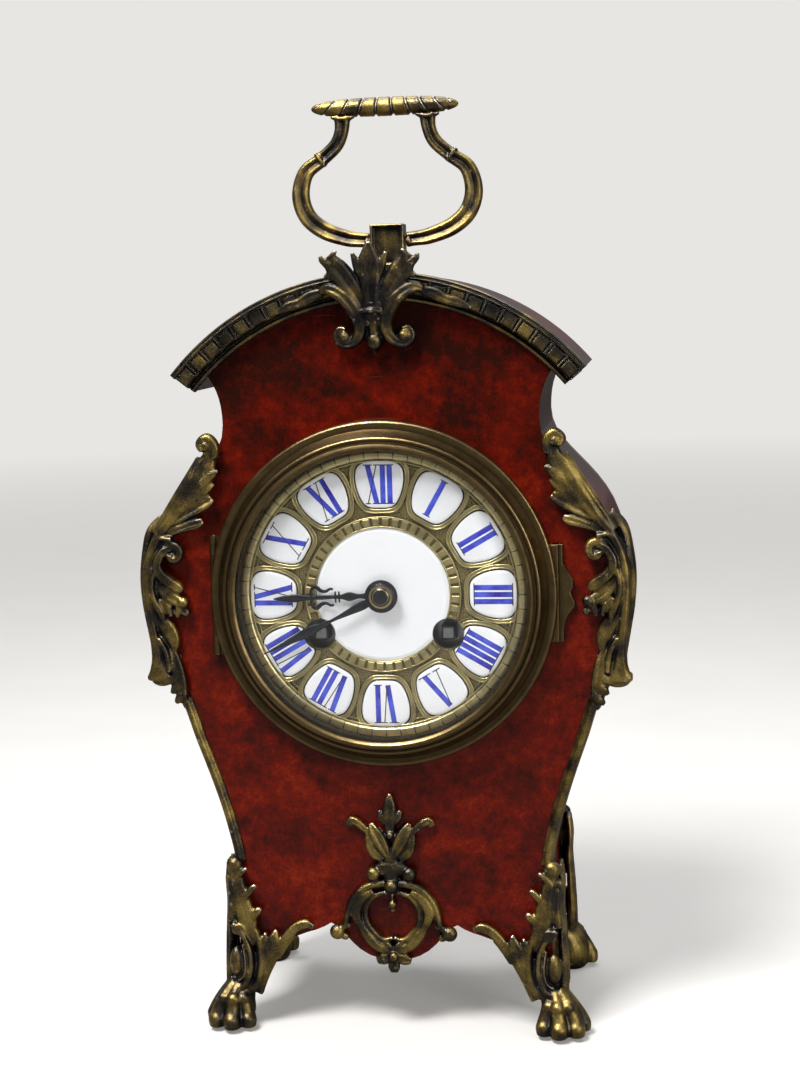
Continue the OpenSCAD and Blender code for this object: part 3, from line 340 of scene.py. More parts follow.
def stippled_brass():
    """The cast ground between the straps of the dial, with painted shade next to the raised parts.
    """
    f = Finish("stippled_brass")
    dots = f.node("TexVoronoi", {"Vector": f.place(), "Scale": 1 / 0.42}, output="Distance")
    patch = f.noise(4, 3)
    # Painted shade: the stipple turns dark where the straps and plaques over the ground close it in.
    stipple_and_shade = f.mask(dots, 0.15, 0.5) * f.mask(f.openness(1.2, alone=False), 0.25, 0.8)
    return f.set(colour=f.blend(stipple_and_shade * (0.5 + patch * 0.5), (0.030, 0.021, 0.009),
                                (0.48, 0.39, 0.18)),
                 metallic=1.0, roughness=0.42, normal=f.bump(stipple_and_shade, 0.12))


def movement_brass():
    f = Finish("movement_brass")
    brush = f.noise(0.25, 3, 0.6, f.place((0.06, 1, 1)))
    patch = f.noise(9, 3)
    return f.set(colour=f.blend(f.mask(patch, 0.4, 0.7) * 0.4, (0.74, 0.58, 0.28),
                                (0.50, 0.36, 0.15)),
                 metallic=1.0, roughness=0.26 + brush * 0.12, normal=f.bump(brush, 0.02))


def polished_steel(name="polished_steel", tone=(0.50, 0.51, 0.53), rough=0.24):
    f = Finish(name)
    brush = f.noise(0.2, 3, 0.6, f.place((1, 0.08, 1)))
    patch = f.noise(3, 3)
    return f.set(colour=f.blend(f.mask(patch, 0.5, 0.75) * 0.5, tone,
                                tuple(0.6 * c for c in tone)),
                 metallic=1.0, roughness=rough + brush * 0.12, normal=f.bump(brush, 0.015))


def blackened_steel():
    f = Finish("blackened_steel")
    grit = f.noise(0.4, 3)
    return f.set(colour=f.blend(grit, (0.010, 0.010, 0.012), (0.035, 0.035, 0.042)),
                 metallic=0.6, roughness=0.3 + grit * 0.14, coat=0.35, coat_roughness=0.15,
                 normal=f.bump(grit, 0.02))


def collet_steel():
    """Black collet with brass rings round its polished dome."""
    f = Finish("collet_steel")
    radius = f.length(f.place((1, 0, 1), (0, 0, DIAL_Z)))
    ring = f.band(radius, 2.85, 3.45) + f.band(radius, 2.15, 2.4) * 0.6
    grit = f.noise(0.4, 3)
    return f.set(colour=f.blend(ring, (0.03, 0.03, 0.034), (0.50, 0.40, 0.19)),
                 metallic=0.6 + ring * 0.4, roughness=0.25 + grit * 0.12,
                 normal=f.bump(grit, 0.02))


def winding_steel():
    """Winding squares: a bright end face, and painted shade on the chamfers, the sides and the arbor
    inside the hole.
    """
    f = Finish("winding_steel")
    spot = f.place(centre=(0, 0, DIAL_Z + WIND_Z))
    across = f.axis("X", spot).size() - WIND_X
    out = across.size().at_least(f.axis("Z", spot).size())
    # Painted shade: all but the end face is near black with little shine, standing in for the shade
    # inside the winding holes.
    painted_hole_shade = f.mask(out, 1.35, 1.6)
    grit = f.noise(0.5, 3)
    return f.set(colour=f.blend(painted_hole_shade, (0.36, 0.37, 0.39), (0.006, 0.006, 0.007)),
                 metallic=1 - painted_hole_shade * 0.9, roughness=0.35 + grit * 0.15,
                 normal=f.bump(grit, 0.03))


def white_enamel():
    """White glaze, with painted shade where it rolls away at a plaque's rim."""
    f = Finish("white_enamel")
    wave = f.noise(3.5, 2)
    speck = f.mask(f.noise(0.35, 1), 0.78, 0.84)
    forward = f.dot(f.node("TexCoord", output="Normal"), (0, -1, 0))
    glaze = f.blend(speck * 0.25, (0.96, 0.975, 1.0), (0.45, 0.42, 0.38))
    # Painted shade: the glaze goes near black where it turns away from the front, a dark line round
    # each plaque.
    return f.set(colour=f.blend(f.mask(forward, 0.6, 0.86), (0.035, 0.03, 0.028), glaze),
                 roughness=0.12, coat=0.6, coat_roughness=0.04,
                 normal=f.bump(wave, 0.06))


def blue_enamel():
    f = Finish("blue_enamel")
    wash = f.mask(f.noise(5, 3, 0.6), 0.3, 0.7)
    return f.set(colour=f.blend(wash, (0.022, 0.010, 0.32), (0.09, 0.14, 0.85)),
                 roughness=0.2, coat=0.5, coat_roughness=0.05)


def black_enamel():
    f = Finish("black_enamel")
    wash = f.noise(0.5, 2)
    return f.set(colour=f.blend(wash, (0.008, 0.008, 0.012), (0.04, 0.04, 0.06)), roughness=0.3)


def clear_glass():
    """Thin glass: clear, with its gloss by Fresnel."""
    f = Finish("clear_glass")
    gloss = f.node("Fresnel", {"IOR": 1.5})
    return f.set(colour=(0.92, 0.97, 1.0), metallic=1.0, roughness=0.03,
                 alpha=0.004 + gloss * 0.6)


def ground():
    """Pale floor that meets the background: paler to the camera than as a lit surface."""
    f = Finish("ground")
    mottle = f.noise(60, 3)
    seen = f.node("LightPath", output="Is Camera Ray")
    far = f.mask(f.length(f.place((MM, MM, 0))), 0.35, 2.2)
    glossy = f.node("LightPath", output="Is Glossy Ray")
    tone = f.blend(mottle, (0.37, 0.36, 0.35), (0.42, 0.41, 0.395))
    f.set(colour=f.blend(glossy * 0.75, tone, (0.05, 0.045, 0.04)), roughness=0.8,
          glow=f.blend(seen, (0.0, 0.0, 0.0), (0.20, 0.195, 0.187)), glow_strength=1.0)
    lit = Value(f.tree, f.shader.outputs[0])
    haze = f.node("Emission", {"Color": PALE, "Strength": 1.0})
    mixed = f.node("MixShader", {"Fac": seen * far, 1: lit, 2: haze})
    feed(f.tree, f.tree.nodes["Material Output"].inputs["Surface"], mixed)
    return f.material


# Pieces

def finish_piece(name, mesh, material, body, replaced=(), smooth=True):
    """A mesh made into a piece that rides on a body."""
    piece = bpy.data.objects.new(name, mesh)
    mesh.materials.clear()
    mesh.materials.append(material)
    for face in mesh.polygons:
        face.use_smooth = smooth
        face.material_index = 0
    bpy.context.collection.objects.link(piece)
    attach(piece, body)
    if replaced:
        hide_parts(*replaced)


def mesh_of(shape, name):
    """A Blender mesh from a bmesh, with its faces turned outwards."""
    bmesh.ops.recalc_face_normals(shape, faces=shape.faces)
    mesh = bpy.data.meshes.new(name)
    shape.to_mesh(mesh)
    shape.free()
    return mesh


def curve_at(keys, t):
    """The point at share t of a smooth curve through the keys, each a tuple of numbers."""
    place = min(max(t, 0.0), 0.99999) * (len(keys) - 1)
    i, u = int(place), place - int(place)
    a, b, c, d = (keys[min(max(i + k, 0), len(keys) - 1)] for k in (-1, 0, 1, 2))
    return tuple(0.5 * (2 * q + (r - p) * u + (2 * p - 5 * q + 4 * r - s) * u * u
                        + (3 * q - p - 3 * r + s) * u ** 3) for p, q, r, s in zip(a, b, c, d))


def settled_mesh(loose):
    """The mesh of an object with its modifiers. The object itself is taken away."""
    bpy.context.collection.objects.link(loose)
    settled = loose.evaluated_get(bpy.context.evaluated_depsgraph_get())
    mesh = bpy.data.meshes.new_from_object(settled)
    bpy.data.objects.remove(loose)
    return mesh


def add_block(shape, middle, sizes, turn=Matrix.Identity(4)):
    """A box of the given sizes, turned about its middle."""
    place = Matrix.Translation(middle) @ turn @ Matrix.Diagonal((*sizes, 1))
    bmesh.ops.create_cube(shape, size=1, matrix=place)


def bevel(shape, edges, width, segments):
    bmesh.ops.bevel(shape, geom=edges, offset=width, segments=segments, affect="EDGES",
                    profile=0.5, material=-1)


def edges_above(shape, height):
    return [e for e in shape.edges if all(v.co.z > height for v in e.verts)]


def plate(outline, low, high):
    """A flat plate over a closed outline, from one height to another, and its upper face."""
    shape = bmesh.new()
    ring = bmesh.ops.create_circle(shape, cap_ends=True, segments=len(outline), radius=1)["verts"]
    for vert, (x, y) in zip(ring, outline):
        vert.co = (x, y, low)
    pushed = bmesh.ops.extrude_face_region(shape, geom=shape.faces[:])["geom"]
    for vert in (v for v in pushed if isinstance(v, bmesh.types.BMVert)):
        vert.co.z = high
    return shape, [f for f in pushed if isinstance(f, bmesh.types.BMFace)]


def plain_tube(around, cuts):
    """A capped tube of radius 1 that runs from z -0.5 to 0.5 in many short steps."""
    tube = bmesh.new()
    bmesh.ops.create_cone(tube, cap_ends=True, segments=around, radius1=1, radius2=1, depth=1)
    long = [e for e in tube.edges if abs(e.verts[0].co.z - e.verts[1].co.z) > 0.5]
    bmesh.ops.subdivide_edges(tube, edges=long, cuts=cuts)
    return tube


def add_shape(whole, part):
    """Adds a bmesh to another one and frees it."""
    mesh = mesh_of(part, "part")
    whole.from_mesh(mesh)
    bpy.data.meshes.remove(mesh)


ROUND_THE_SIDE, ANYWHERE = -9, -60       # how far behind the face a rod may reach


class Casting:
    """Rods, scrolls and balls on the clock's face, in millimetres, fused into one casting.

    A key of a rod is (x, height, distance in front of the face, half width, half depth). A rod
    stays in front of the distance low, and one for both sides is repeated at the clock's left.
    """

    def __init__(self):
        self.shape = bmesh.new()

    def rod(self, keys, groove=0.0, cuts=18, around=12, low=0.05, both=False):
        for side in (1, -1) if both else (1,):
            self.one_rod([(side * x, *rest) for x, *rest in keys], groove, cuts, around, low)

    def one_rod(self, keys, groove, cuts, around, low):
        tube = plain_tube(around, cuts)
        for vert in tube.verts:
            t, angle = vert.co.z + 0.5, math.atan2(vert.co.y, vert.co.x)
            x, z, f, across, deep = curve_at(keys, t)
            ahead = curve_at(keys, t + 0.01)
            behind = curve_at(keys, t - 0.01)
            run = Vector((ahead[0] - behind[0], ahead[1] - behind[1]))
            run = run.normalized() if run.length > 1e-6 else Vector((0, 1))
            u, v = math.cos(angle), math.sin(angle)
            if v > 0:
                v *= 1 - groove * math.exp(-(u / 0.42) ** 2)
            vert.co = (x + run.y * across * u, z - run.x * across * u, max(f + deep * v, low))
        add_shape(self.shape, tube)

    def flutes(self, keys, count, low):
        """A thin plate with raised ribs along it, side by side from front to back."""
        self.rod([(x, z, f, across * 0.55, deep) for x, z, f, across, deep in keys],
                 cuts=36, around=16, low=low)
        for n in range(count):
            at = (2 * n + 1) / count - 1
            self.rod([(x, z, f + at * deep, across, deep * 0.78 / count)
                      for x, z, f, across, deep in keys], cuts=36, around=12, low=low)

    def ball(self, x, z, f, r, flat=1.0, tall=1.0, both=False):
        for side in (1, -1) if both else (1,):
            place = Matrix.Translation((side * x, z, f)) @ Matrix.Diagonal((1, tall, flat, 1))
            bmesh.ops.create_uvsphere(self.shape, u_segments=18, v_segments=12, radius=r,
                                      matrix=place)

    def scroll(self, x, z, f, r, start, turns, width, deep):
        """A volute that winds in from start degrees towards an eye."""
        steps = max(6, int(8 * abs(turns)))
        closing, rise, thinning = 0.72, 0.5, 0.35
        keys = []
        for i in range(steps + 1):
            t = i / steps
            angle = math.radians(start) + 2 * math.pi * turns * t
            radius = r * (1 - closing * t)
            keys.append((x + radius * math.cos(angle), z + radius * math.sin(angle), f + rise * t,
                         width * (1 - thinning * t), deep))
        self.rod(keys, 0.15, cuts=steps * 3, around=10)
        self.ball(x, z, f + 0.3, r * 0.34)

    def finish(self, name, node, material, body="case", side=1, behind=False, pitch=0.3,
               wood=None, smoothing=3, slot="gilt_bronze"):
        """The casting in place of a CAD node: fused, smoothed and kept out of the wood."""
        for vert in self.shape.verts:
            x, z, f = vert.co
            vert.co = place_on_face(side * x, z, f, behind)
        loose = bpy.data.objects.new(name + "_parts", mesh_of(self.shape, name))
        fuse = loose.modifiers.new("fuse", "REMESH")
        fuse.mode = "VOXEL"
        fuse.voxel_size = pitch * MM
        whole = settled_mesh(loose)
        shape = bmesh.new()
        shape.from_mesh(whole)
        for _ in range(smoothing):
            bmesh.ops.smooth_vert(shape, verts=shape.verts, factor=0.5, use_axis_x=True,
                                  use_axis_y=True, use_axis_z=True)
        if wood:
            for vert in shape.verts:
                wood(vert)
        shape.to_mesh(whole)
        shape.free()
        whole.name = name
        finish_piece(name, whole, material, body, (node,))


def place_on_face(x, z, f, behind=False):
    """Metres from millimetres on the front face, or on the back face seen from behind."""
    y = BACK_Y + f if behind else FRONT_Y - f
    return Vector((x, y, z)) * MM


# Crest on the roof

def crest(material):
    c = Casting()
    back = 5.2
    c.rod([(0, 218.6, 6.6, 2.6, 2.4), (0, 223.6, 7.4, 2.8, 2.8), (0, 228.6, 8.2, 3.6, 2.5),
           (0, 233.0, 9.0, 3.9, 1.8), (0, 236.6, 9.6, 2.3, 1.2), (0, 239.4, 9.9, 0.6, 0.7)], 0.35,
          cuts=30, around=22, low=back)
    c.rod([(1.8, 228.6, 8.2, 1.2, 1.8), (3.4, 232.4, 9.0, 1.5, 1.5), (4.9, 236.4, 9.7, 0.5, 0.7)],
          0.2, both=True, low=back)
    c.rod([(1.6, 219.6, 6.6, 2.0, 2.2), (4.4, 224.6, 7.4, 2.8, 2.6), (7.6, 229.4, 8.2, 3.3, 2.2),
           (10.4, 233.0, 8.9, 2.9, 1.7), (12.4, 235.2, 9.4, 1.5, 1.1)], 0.42, cuts=30, around=22,
          both=True, low=back)
    c.rod([(9.8, 232.8, 9.0, 1.6, 1.4), (10.4, 235.6, 9.6, 1.0, 1.0), (9.4, 237.0, 9.9, 0.4, 0.6)],
          0.1, both=True, low=back)
    c.rod([(11.2, 232.6, 8.9, 1.6, 1.5), (13.6, 234.4, 9.5, 1.0, 1.0), (14.2, 235.8, 9.8, 0.4, 0.6)],
          0.1, both=True, low=back)
    c.rod([(8.6, 228.8, 8.0, 1.8, 1.6), (11.6, 230.0, 8.6, 1.2, 1.1), (13.4, 229.8, 9.0, 0.4, 0.6)],
          0.1, both=True, low=back)
    c.rod([(14.5, 225.4, 5.4, 1.4, 1.7), (18.2, 224.2, 5.4, 2.0, 1.6), (21.6, 222.4, 5.2, 1.7, 1.4),
           (25.2, 221.4, 5.0, 1.6, 1.2), (28.6, 219.8, 4.8, 0.5, 0.7)], 0.3, cuts=24, around=14,
          both=True, low=4.0)
    c.rod([(3.4, 221.4, 6.6, 2.4, 1.8), (4.6, 226.4, 6.8, 4.2, 1.8), (5.2, 230.6, 7.0, 3.6, 1.4)],
          both=True, low=back)
    c.rod([(15.0, 225.6, 6.8, 0.9, 1.3), (12.6, 226.2, 7.4, 1.9, 1.9), (9.8, 225.2, 7.8, 2.2, 2.3),
           (7.0, 222.8, 7.8, 2.3, 2.5), (4.8, 219.4, 6.8, 2.3, 2.6), (3.8, 215.8, 5.0, 2.1, 2.6),
           (4.5, 212.6, 3.8, 1.9, 2.4), (6.8, 210.4, 3.2, 1.6, 2.2), (9.4, 210.2, 3.2, 1.4, 2.1),
           (11.0, 212.2, 3.3, 1.3, 2.0), (10.2, 214.4, 3.6, 1.2, 1.9), (8.4, 214.2, 4.0, 1.0, 1.9)],
          0.35, cuts=52, around=14, both=True, low=0.1)
    c.ball(8.7, 212.5, 3.8, 1.9, both=True)
    c.rod([(0, 222, 7.2, 3.6, 2.2), (0, 218, 5.6, 3.4, 2.8), (0, 214.4, 3.6, 2.0, 2.6),
           (0, 210.8, 2.8, 2.6, 2.3), (0, 208.8, 2.2, 1.6, 1.7), (0, 207.1, 1.6, 0.5, 0.9)],
          cuts=28, around=16, low=0.1)
    c.rod([(-3.2, 219.4, 8.0, 0.7, 0.8), (0, 219.9, 8.9, 0.8, 0.9), (3.2, 219.4, 8.0, 0.7, 0.8)])
    c.ball(0, 211.0, 4.4, 2.2, 0.8, 1.2)
    c.ball(2.8, 212.6, 3.6, 1.1, both=True)
    c.finish("crest_casting", "crest_mount", material, pitch=0.25, smoothing=2)


# The wood that the mounts keep off

HIGHEST = 300             # more than the clock's height
NARROWEST = 30            # less than half the case's width
SOLE_TOP = 12             # the wood starts above this height
CLEAR = 0.02              # mounts stand off the wood by this


def side_line():
    """Half width of the case at every millimetre of height, from the front board's edge."""
    widths = [0.0] * HIGHEST
    for vert in frame["nodes"]["front_board"].data.vertices:
        z = round(vert.co.z / MM)
        widths[z] = max(widths[z], vert.co.x / MM)
    known = [z for z, w in enumerate(widths) if w > NARROWEST]
    for z in range(known[0], known[-1]):
        if widths[z] <= NARROWEST:
            before = max(k for k in known if k < z)
            after = min(k for k in known if k > z)
            share = (z - before) / (after - before)
            widths[z] = widths[before] * (1 - share) + widths[after] * share
    return widths


SIDE_LINE = side_line()


def case_side(z):
    return SIDE_LINE[min(max(round(z), 0), HIGHEST - 1)]


def off_the_wood(vert):
    """Moves a point out of the case to its face or its side, whichever is nearer."""
    z = vert.co.z / MM
    inside = case_side(z) - abs(vert.co.x) / MM
    behind = abs(vert.co.y) / MM - abs(FRONT_Y)
    if z > SOLE_TOP and inside > 0 > behind:
        if inside < -behind:
            vert.co.x = math.copysign((case_side(z) + CLEAR) * MM, vert.co.x)
        else:
            vert.co.y = math.copysign((abs(FRONT_Y) + CLEAR) * MM, vert.co.y)
    vert.co.z = max(vert.co.z, 0)


# Mounts over the shoulders and down the front corners

def shoulder(name, node, side, material):
    c = Casting()
    c.rod([(49.4, 177.4, 2.6, 1.2, 1.6), (49.2, 181.0, 2.8, 1.5, 1.9), (51.4, 183.4, 2.8, 1.6, 2.0),
           (53.6, 181.8, 2.8, 1.5, 2.0), (52.6, 179.8, 3.2, 1.3, 2.0)], 0.1, cuts=26, around=14)
    c.ball(51.9, 181.2, 3.0, 2.1, 0.95)
    c.rod([(50.4, 180.0, 2.2, 2.2, 2.0), (51.2, 177.4, 2.0, 2.4, 1.9), (52.6, 174.6, 2.2, 3.5, 2.0),
           (54.8, 170.4, 2.6, 3.9, 2.2), (58.7, 165.2, 2.8, 3.0, 2.3), (62.7, 160.0, 3.0, 1.8, 2.3),
           (66.4, 155.4, 3.0, 1.2, 2.2)], 0.3, cuts=36, around=22)
    c.rod([(54.6, 177.6, 1.0, 0.8, 1.4), (57.6, 172.0, 1.8, 1.3, 1.9), (61.4, 166.2, 2.4, 1.3, 2.0),
           (65.4, 160.2, 2.4, 1.2, 2.0), (68.6, 155.0, 2.0, 1.3, 2.2)])
    for x, z in ((48.6, 173.8), (50.0, 169.8)):
        c.rod([(x, z, 2.6, 0.6, 0.9), (x + 1.8, z - 1.4, 2.6, 1.5, 1.7),
               (x + 5.2, z - 4.6, 2.8, 1.6, 2.0)], 0.2)
    c.rod([(50.6, 165.6, 3.0, 1.0, 1.0), (52.2, 164.4, 2.8, 2.0, 1.8), (56.8, 161.9, 2.8, 2.1, 2.1),
           (60.6, 159.8, 2.8, 1.6, 2.1), (64.4, 157.6, 2.8, 1.0, 2.0)], 0.6, cuts=24, around=18)
    c.rod([(53.8, 158.8, 2.8, 0.9, 1.0), (55.6, 157.9, 2.6, 1.7, 1.7), (59.6, 156.7, 2.6, 1.5, 1.9),
           (63.6, 155.2, 2.6, 1.2, 1.9), (67.2, 151.8, 2.6, 0.9, 2.0)], 0.5, around=16)
    c.rod([(63.6, 160.0, 2.6, 1.2, 2.0), (67.4, 154.2, 2.8, 1.6, 2.2), (70.0, 149.0, 2.8, 1.5, 2.3),
           (71.4, 143.6, 2.8, 1.4, 2.4), (71.7, 138.0, 2.6, 1.4, 2.4), (71.2, 131.0, 2.4, 1.4, 2.4),
           (70.4, 123.0, 2.2, 1.5, 2.3), (69.9, 117.0, 2.0, 1.8, 2.2), (69.8, 113.2, 1.8, 2.7, 2.0),
           (69.7, 110.8, 1.8, 3.9, 1.9), (69.7, 109.6, 1.8, 3.4, 1.5)], 0.2, cuts=44, around=18)
    c.flutes([(66.9, 159.2, -3.2, 1.5, 4.2), (70.4, 155.2, -3.4, 1.9, 5.0),
              (72.3, 149.0, -3.5, 1.6, 5.3), (73.3, 141.0, -3.5, 1.5, 5.4),
              (72.9, 132.6, -3.5, 1.5, 5.3), (71.6, 124.0, -3.4, 1.4, 5.2),
              (70.2, 116.6, -3.2, 1.6, 5.0), (70.0, 111.6, -2.6, 2.2, 4.4)], 3, ROUND_THE_SIDE)
    c.rod([(72.9, 111.4, -1.6, 0.9, 2.6), (71.0, 109.4, -0.4, 1.5, 2.6),
           (67.8, 109.2, 1.2, 1.3, 2.0), (65.6, 110.6, 2.0, 0.9, 1.4)], 0.2, low=ROUND_THE_SIDE)
    c.scroll(63.3, 148.7, 3.0, 3.3, 20, 0.95, 1.75, 2.1)
    c.rod([(69.0, 152.4, 2.8, 1.0, 2.0), (66.6, 153.6, 3.0, 1.1, 2.0), (63.4, 153.2, 3.2, 1.0, 2.0)])
    c.rod([(63.6, 150.6, 3.4, 1.0, 2.0), (66.2, 149.5, 3.8, 1.4, 2.2), (68.0, 146.0, 4.0, 1.6, 2.3),
           (67.4, 143.0, 3.8, 1.7, 2.2), (65.0, 140.6, 3.6, 1.8, 2.1), (62.4, 138.6, 3.2, 1.9, 1.9),
           (60.9, 137.4, 3.0, 1.1, 1.3)], 0.35, cuts=30, around=16)
    c.rod([(68.4, 146.0, 3.0, 0.8, 2.1), (69.8, 141.0, 3.2, 1.0, 2.4), (70.0, 137.0, 3.2, 1.1, 2.4),
           (69.0, 133.6, 3.2, 1.2, 2.3), (67.7, 130.8, 3.0, 1.5, 2.1), (67.1, 127.0, 2.6, 0.6, 1.2)],
          0.1, cuts=26)
    c.rod([(69.0, 142.4, 2.6, 1.2, 1.9), (67.2, 138.4, 2.8, 2.2, 2.0), (64.6, 135.6, 2.8, 2.2, 2.0),
           (61.2, 133.9, 3.0, 1.7, 1.7)], 0.45, cuts=22, around=18)
    c.ball(60.7, 134.0, 3.2, 1.9)
    c.ball(60.2, 130.9, 2.4, 1.4)
    c.rod([(68.2, 134.8, 2.6, 1.2, 1.8), (65.8, 132.6, 2.8, 1.4, 1.8), (64.8, 129.6, 2.6, 0.6, 1.0)],
          0.2)
    c.rod([(62.0, 133.2, 2.4, 1.4, 1.7), (62.8, 130.8, 2.4, 1.2, 1.4), (63.0, 129.2, 2.2, 0.5, 0.8)],
          0.2)
    c.rod([(69.8, 133.6, 2.4, 1.1, 1.8), (68.2, 129.2, 2.2, 2.0, 1.8), (66.2, 125.4, 2.0, 2.7, 1.7),
           (64.6, 121.9, 1.9, 2.1, 1.6), (64.8, 118.6, 1.8, 0.8, 1.1)], 0.4, cuts=24, around=18)
    c.rod([(69.0, 123.0, 2.2, 1.0, 2.0), (66.8, 118.0, 2.2, 1.2, 2.0), (66.0, 112.6, 2.2, 1.1, 1.9)])
    c.rod([(65.0, 119.0, 1.6, 1.0, 1.4), (64.0, 114.8, 1.8, 1.9, 1.8), (63.2, 110.6, 1.8, 2.1, 1.9),
           (62.8, 106.4, 1.6, 2.0, 1.8), (62.2, 102.4, 1.2, 1.0, 1.2)], 0.4, cuts=24, around=16)
    c.rod([(69.6, 132.0, -3.4, 2.6, 4.6), (67.6, 123.0, -3.4, 3.0, 4.6),
           (66.0, 115.0, -3.4, 3.4, 4.4), (64.0, 108.0, -3.4, 2.6, 4.2),
           (62.0, 100.6, -3.6, 1.6, 4.2)], low=ROUND_THE_SIDE)
    for x, z in ((66.6, 110.2), (65.6, 107.2), (64.4, 104.2)):
        c.rod([(x - 2.8, z + 2.0, 1.8, 1.0, 1.6), (x - 0.8, z, 1.8, 1.5, 1.7),
               (x + 0.6, z - 1.6, 1.4, 0.6, 1.0)], 0.2)
    c.finish(name, node, material, side=side, pitch=0.32, wood=off_the_wood)


def edge_moulding(name, node, side, material):
    """A bead down the case's front corner with a lip round the side."""
    c = Casting()
    heights = [104.5, 98, 92, 86, 80, 74, 68, 62, 57, 53]
    for inside, f, across, deep in ((0.9, -0.2, 1.5, 2.2), (-0.1, -3.8, 0.55, 3.6),
                                    (-0.2, -6.9, 0.85, 0.9), (2.4, 0.2, 0.45, 0.7)):
        c.rod([(case_side(z) - inside, z, f, across, deep) for z in heights], cuts=60,
              around=14, low=ROUND_THE_SIDE)
    c.finish(name, node, material, side=side, pitch=0.28, wood=off_the_wood)


# Feet

def foot(name, node, side, behind, material):
    c = Casting()
    c.ball(48.7, 52.0, 1.8, 2.7, 0.8)
    c.ball(50.6, 47.8, 1.4, 1.4)
    c.rod([(48.8, 52.0, 1.6, 2.2, 1.8), (48.0, 48.0, 1.9, 2.1, 1.9), (47.0, 43.4, 2.0, 2.3, 2.0),
           (46.2, 38.6, 2.2, 3.0, 2.0), (45.3, 34.4, 2.2, 3.3, 2.0), (44.2, 30.2, 2.2, 2.0, 2.0),
           (43.8, 26.6, 2.0, 0.8, 1.6)], 0.25, cuts=36, around=20)
    for x, z, reach in ((41.9, 45.8, 1.1), (40.6, 38.4, 1.4), (44.6, 51.2, 0.8)):
        c.rod([(x, z, 2.8, 0.5, 0.8), (x + 1.4, z - 1.0, 2.6, reach, 1.5),
               (x + 4.2, z - 4.2, 2.4, reach, 1.9)], 0.3)
    c.rod([(50.2, 46.0, 1.0, 1.2, 1.8), (49.9, 40.0, 1.2, 1.4, 2.0), (50.4, 34.0, 1.4, 1.5, 2.2)],
          0.1)
    c.flutes([(50.9, 53.0, -3.6, 0.8, 3.4), (51.4, 47.0, -3.6, 1.0, 4.6),
              (51.0, 40.0, -3.6, 1.1, 5.0), (51.3, 32.0, -3.6, 1.3, 5.2),
              (51.6, 23.0, -3.6, 1.5, 5.2), (51.2, 14.5, -3.4, 2.2, 5.0)], 3, ROUND_THE_SIDE)
    c.scroll(48.2, 31.6, 2.6, 2.0, 200, -0.9, 1.0, 2.0)
    c.rod([(49.8, 33.6, 2.8, 1.0, 1.9), (47.2, 31.0, 3.0, 1.1, 2.1), (45.0, 27.0, 3.2, 1.0, 2.2),
           (44.2, 22.6, 3.2, 1.0, 2.3), (44.8, 17.4, 3.2, 1.1, 2.2), (47.2, 13.6, 3.0, 1.2, 2.1),
           (50.8, 13.6, 2.4, 1.2, 2.0)], 0.1, cuts=34)
    c.rod([(46.6, 27.4, 3.0, 0.6, 2.0), (46.0, 22.6, 3.2, 0.55, 2.0), (46.4, 17.8, 3.0, 0.6, 1.9),
           (48.6, 15.4, 2.8, 0.6, 1.8)], cuts=24)
    c.ball(48.9, 21.4, 2.8, 2.3, 1.1, 2.15)
    c.rod([(42.7, 31.4, 2.0, 1.0, 1.7), (41.4, 25.6, 2.2, 1.4, 1.9), (41.5, 19.6, 2.2, 1.4, 2.0),
           (43.0, 14.6, 2.0, 1.6, 2.0), (46.4, 12.0, 2.0, 1.6, 2.0)], cuts=28)
    c.rod([(36.4, 31.6, 2.2, 0.5, 0.8), (36.9, 29.4, 2.4, 1.6, 1.6), (37.8, 26.0, 2.4, 2.3, 1.8),
           (39.2, 21.6, 2.2, 1.7, 1.8), (40.6, 17.2, 2.0, 0.9, 1.7)], 0.45, cuts=26, around=18)
    c.rod([(39.7, 30.6, 2.2, 0.5, 0.8), (40.2, 28.4, 2.2, 1.1, 1.5), (41.2, 24.0, 2.2, 1.1, 1.8)],
          0.2)
    c.rod([(24.6, 32.6, 1.8, 0.9, 1.3), (27.0, 33.6, 2.0, 1.5, 1.6), (30.4, 32.2, 2.0, 1.6, 1.7),
           (33.8, 28.4, 2.0, 1.5, 1.7), (37.0, 23.2, 1.8, 1.3, 1.7), (40.4, 16.8, 1.6, 1.4, 1.7),
           (43.2, 10.8, 0.8, 1.8, 1.9)], 0.4, cuts=40, around=16)
    c.rod([(30.6, 29.6, 1.6, 0.5, 0.9), (33.4, 27.0, 1.6, 1.1, 1.3), (36.2, 22.6, 1.6, 1.1, 1.4)],
          0.2)
    paw(c)
    c.finish(name, node, material, side=side, behind=behind, pitch=0.34, wood=off_the_wood)


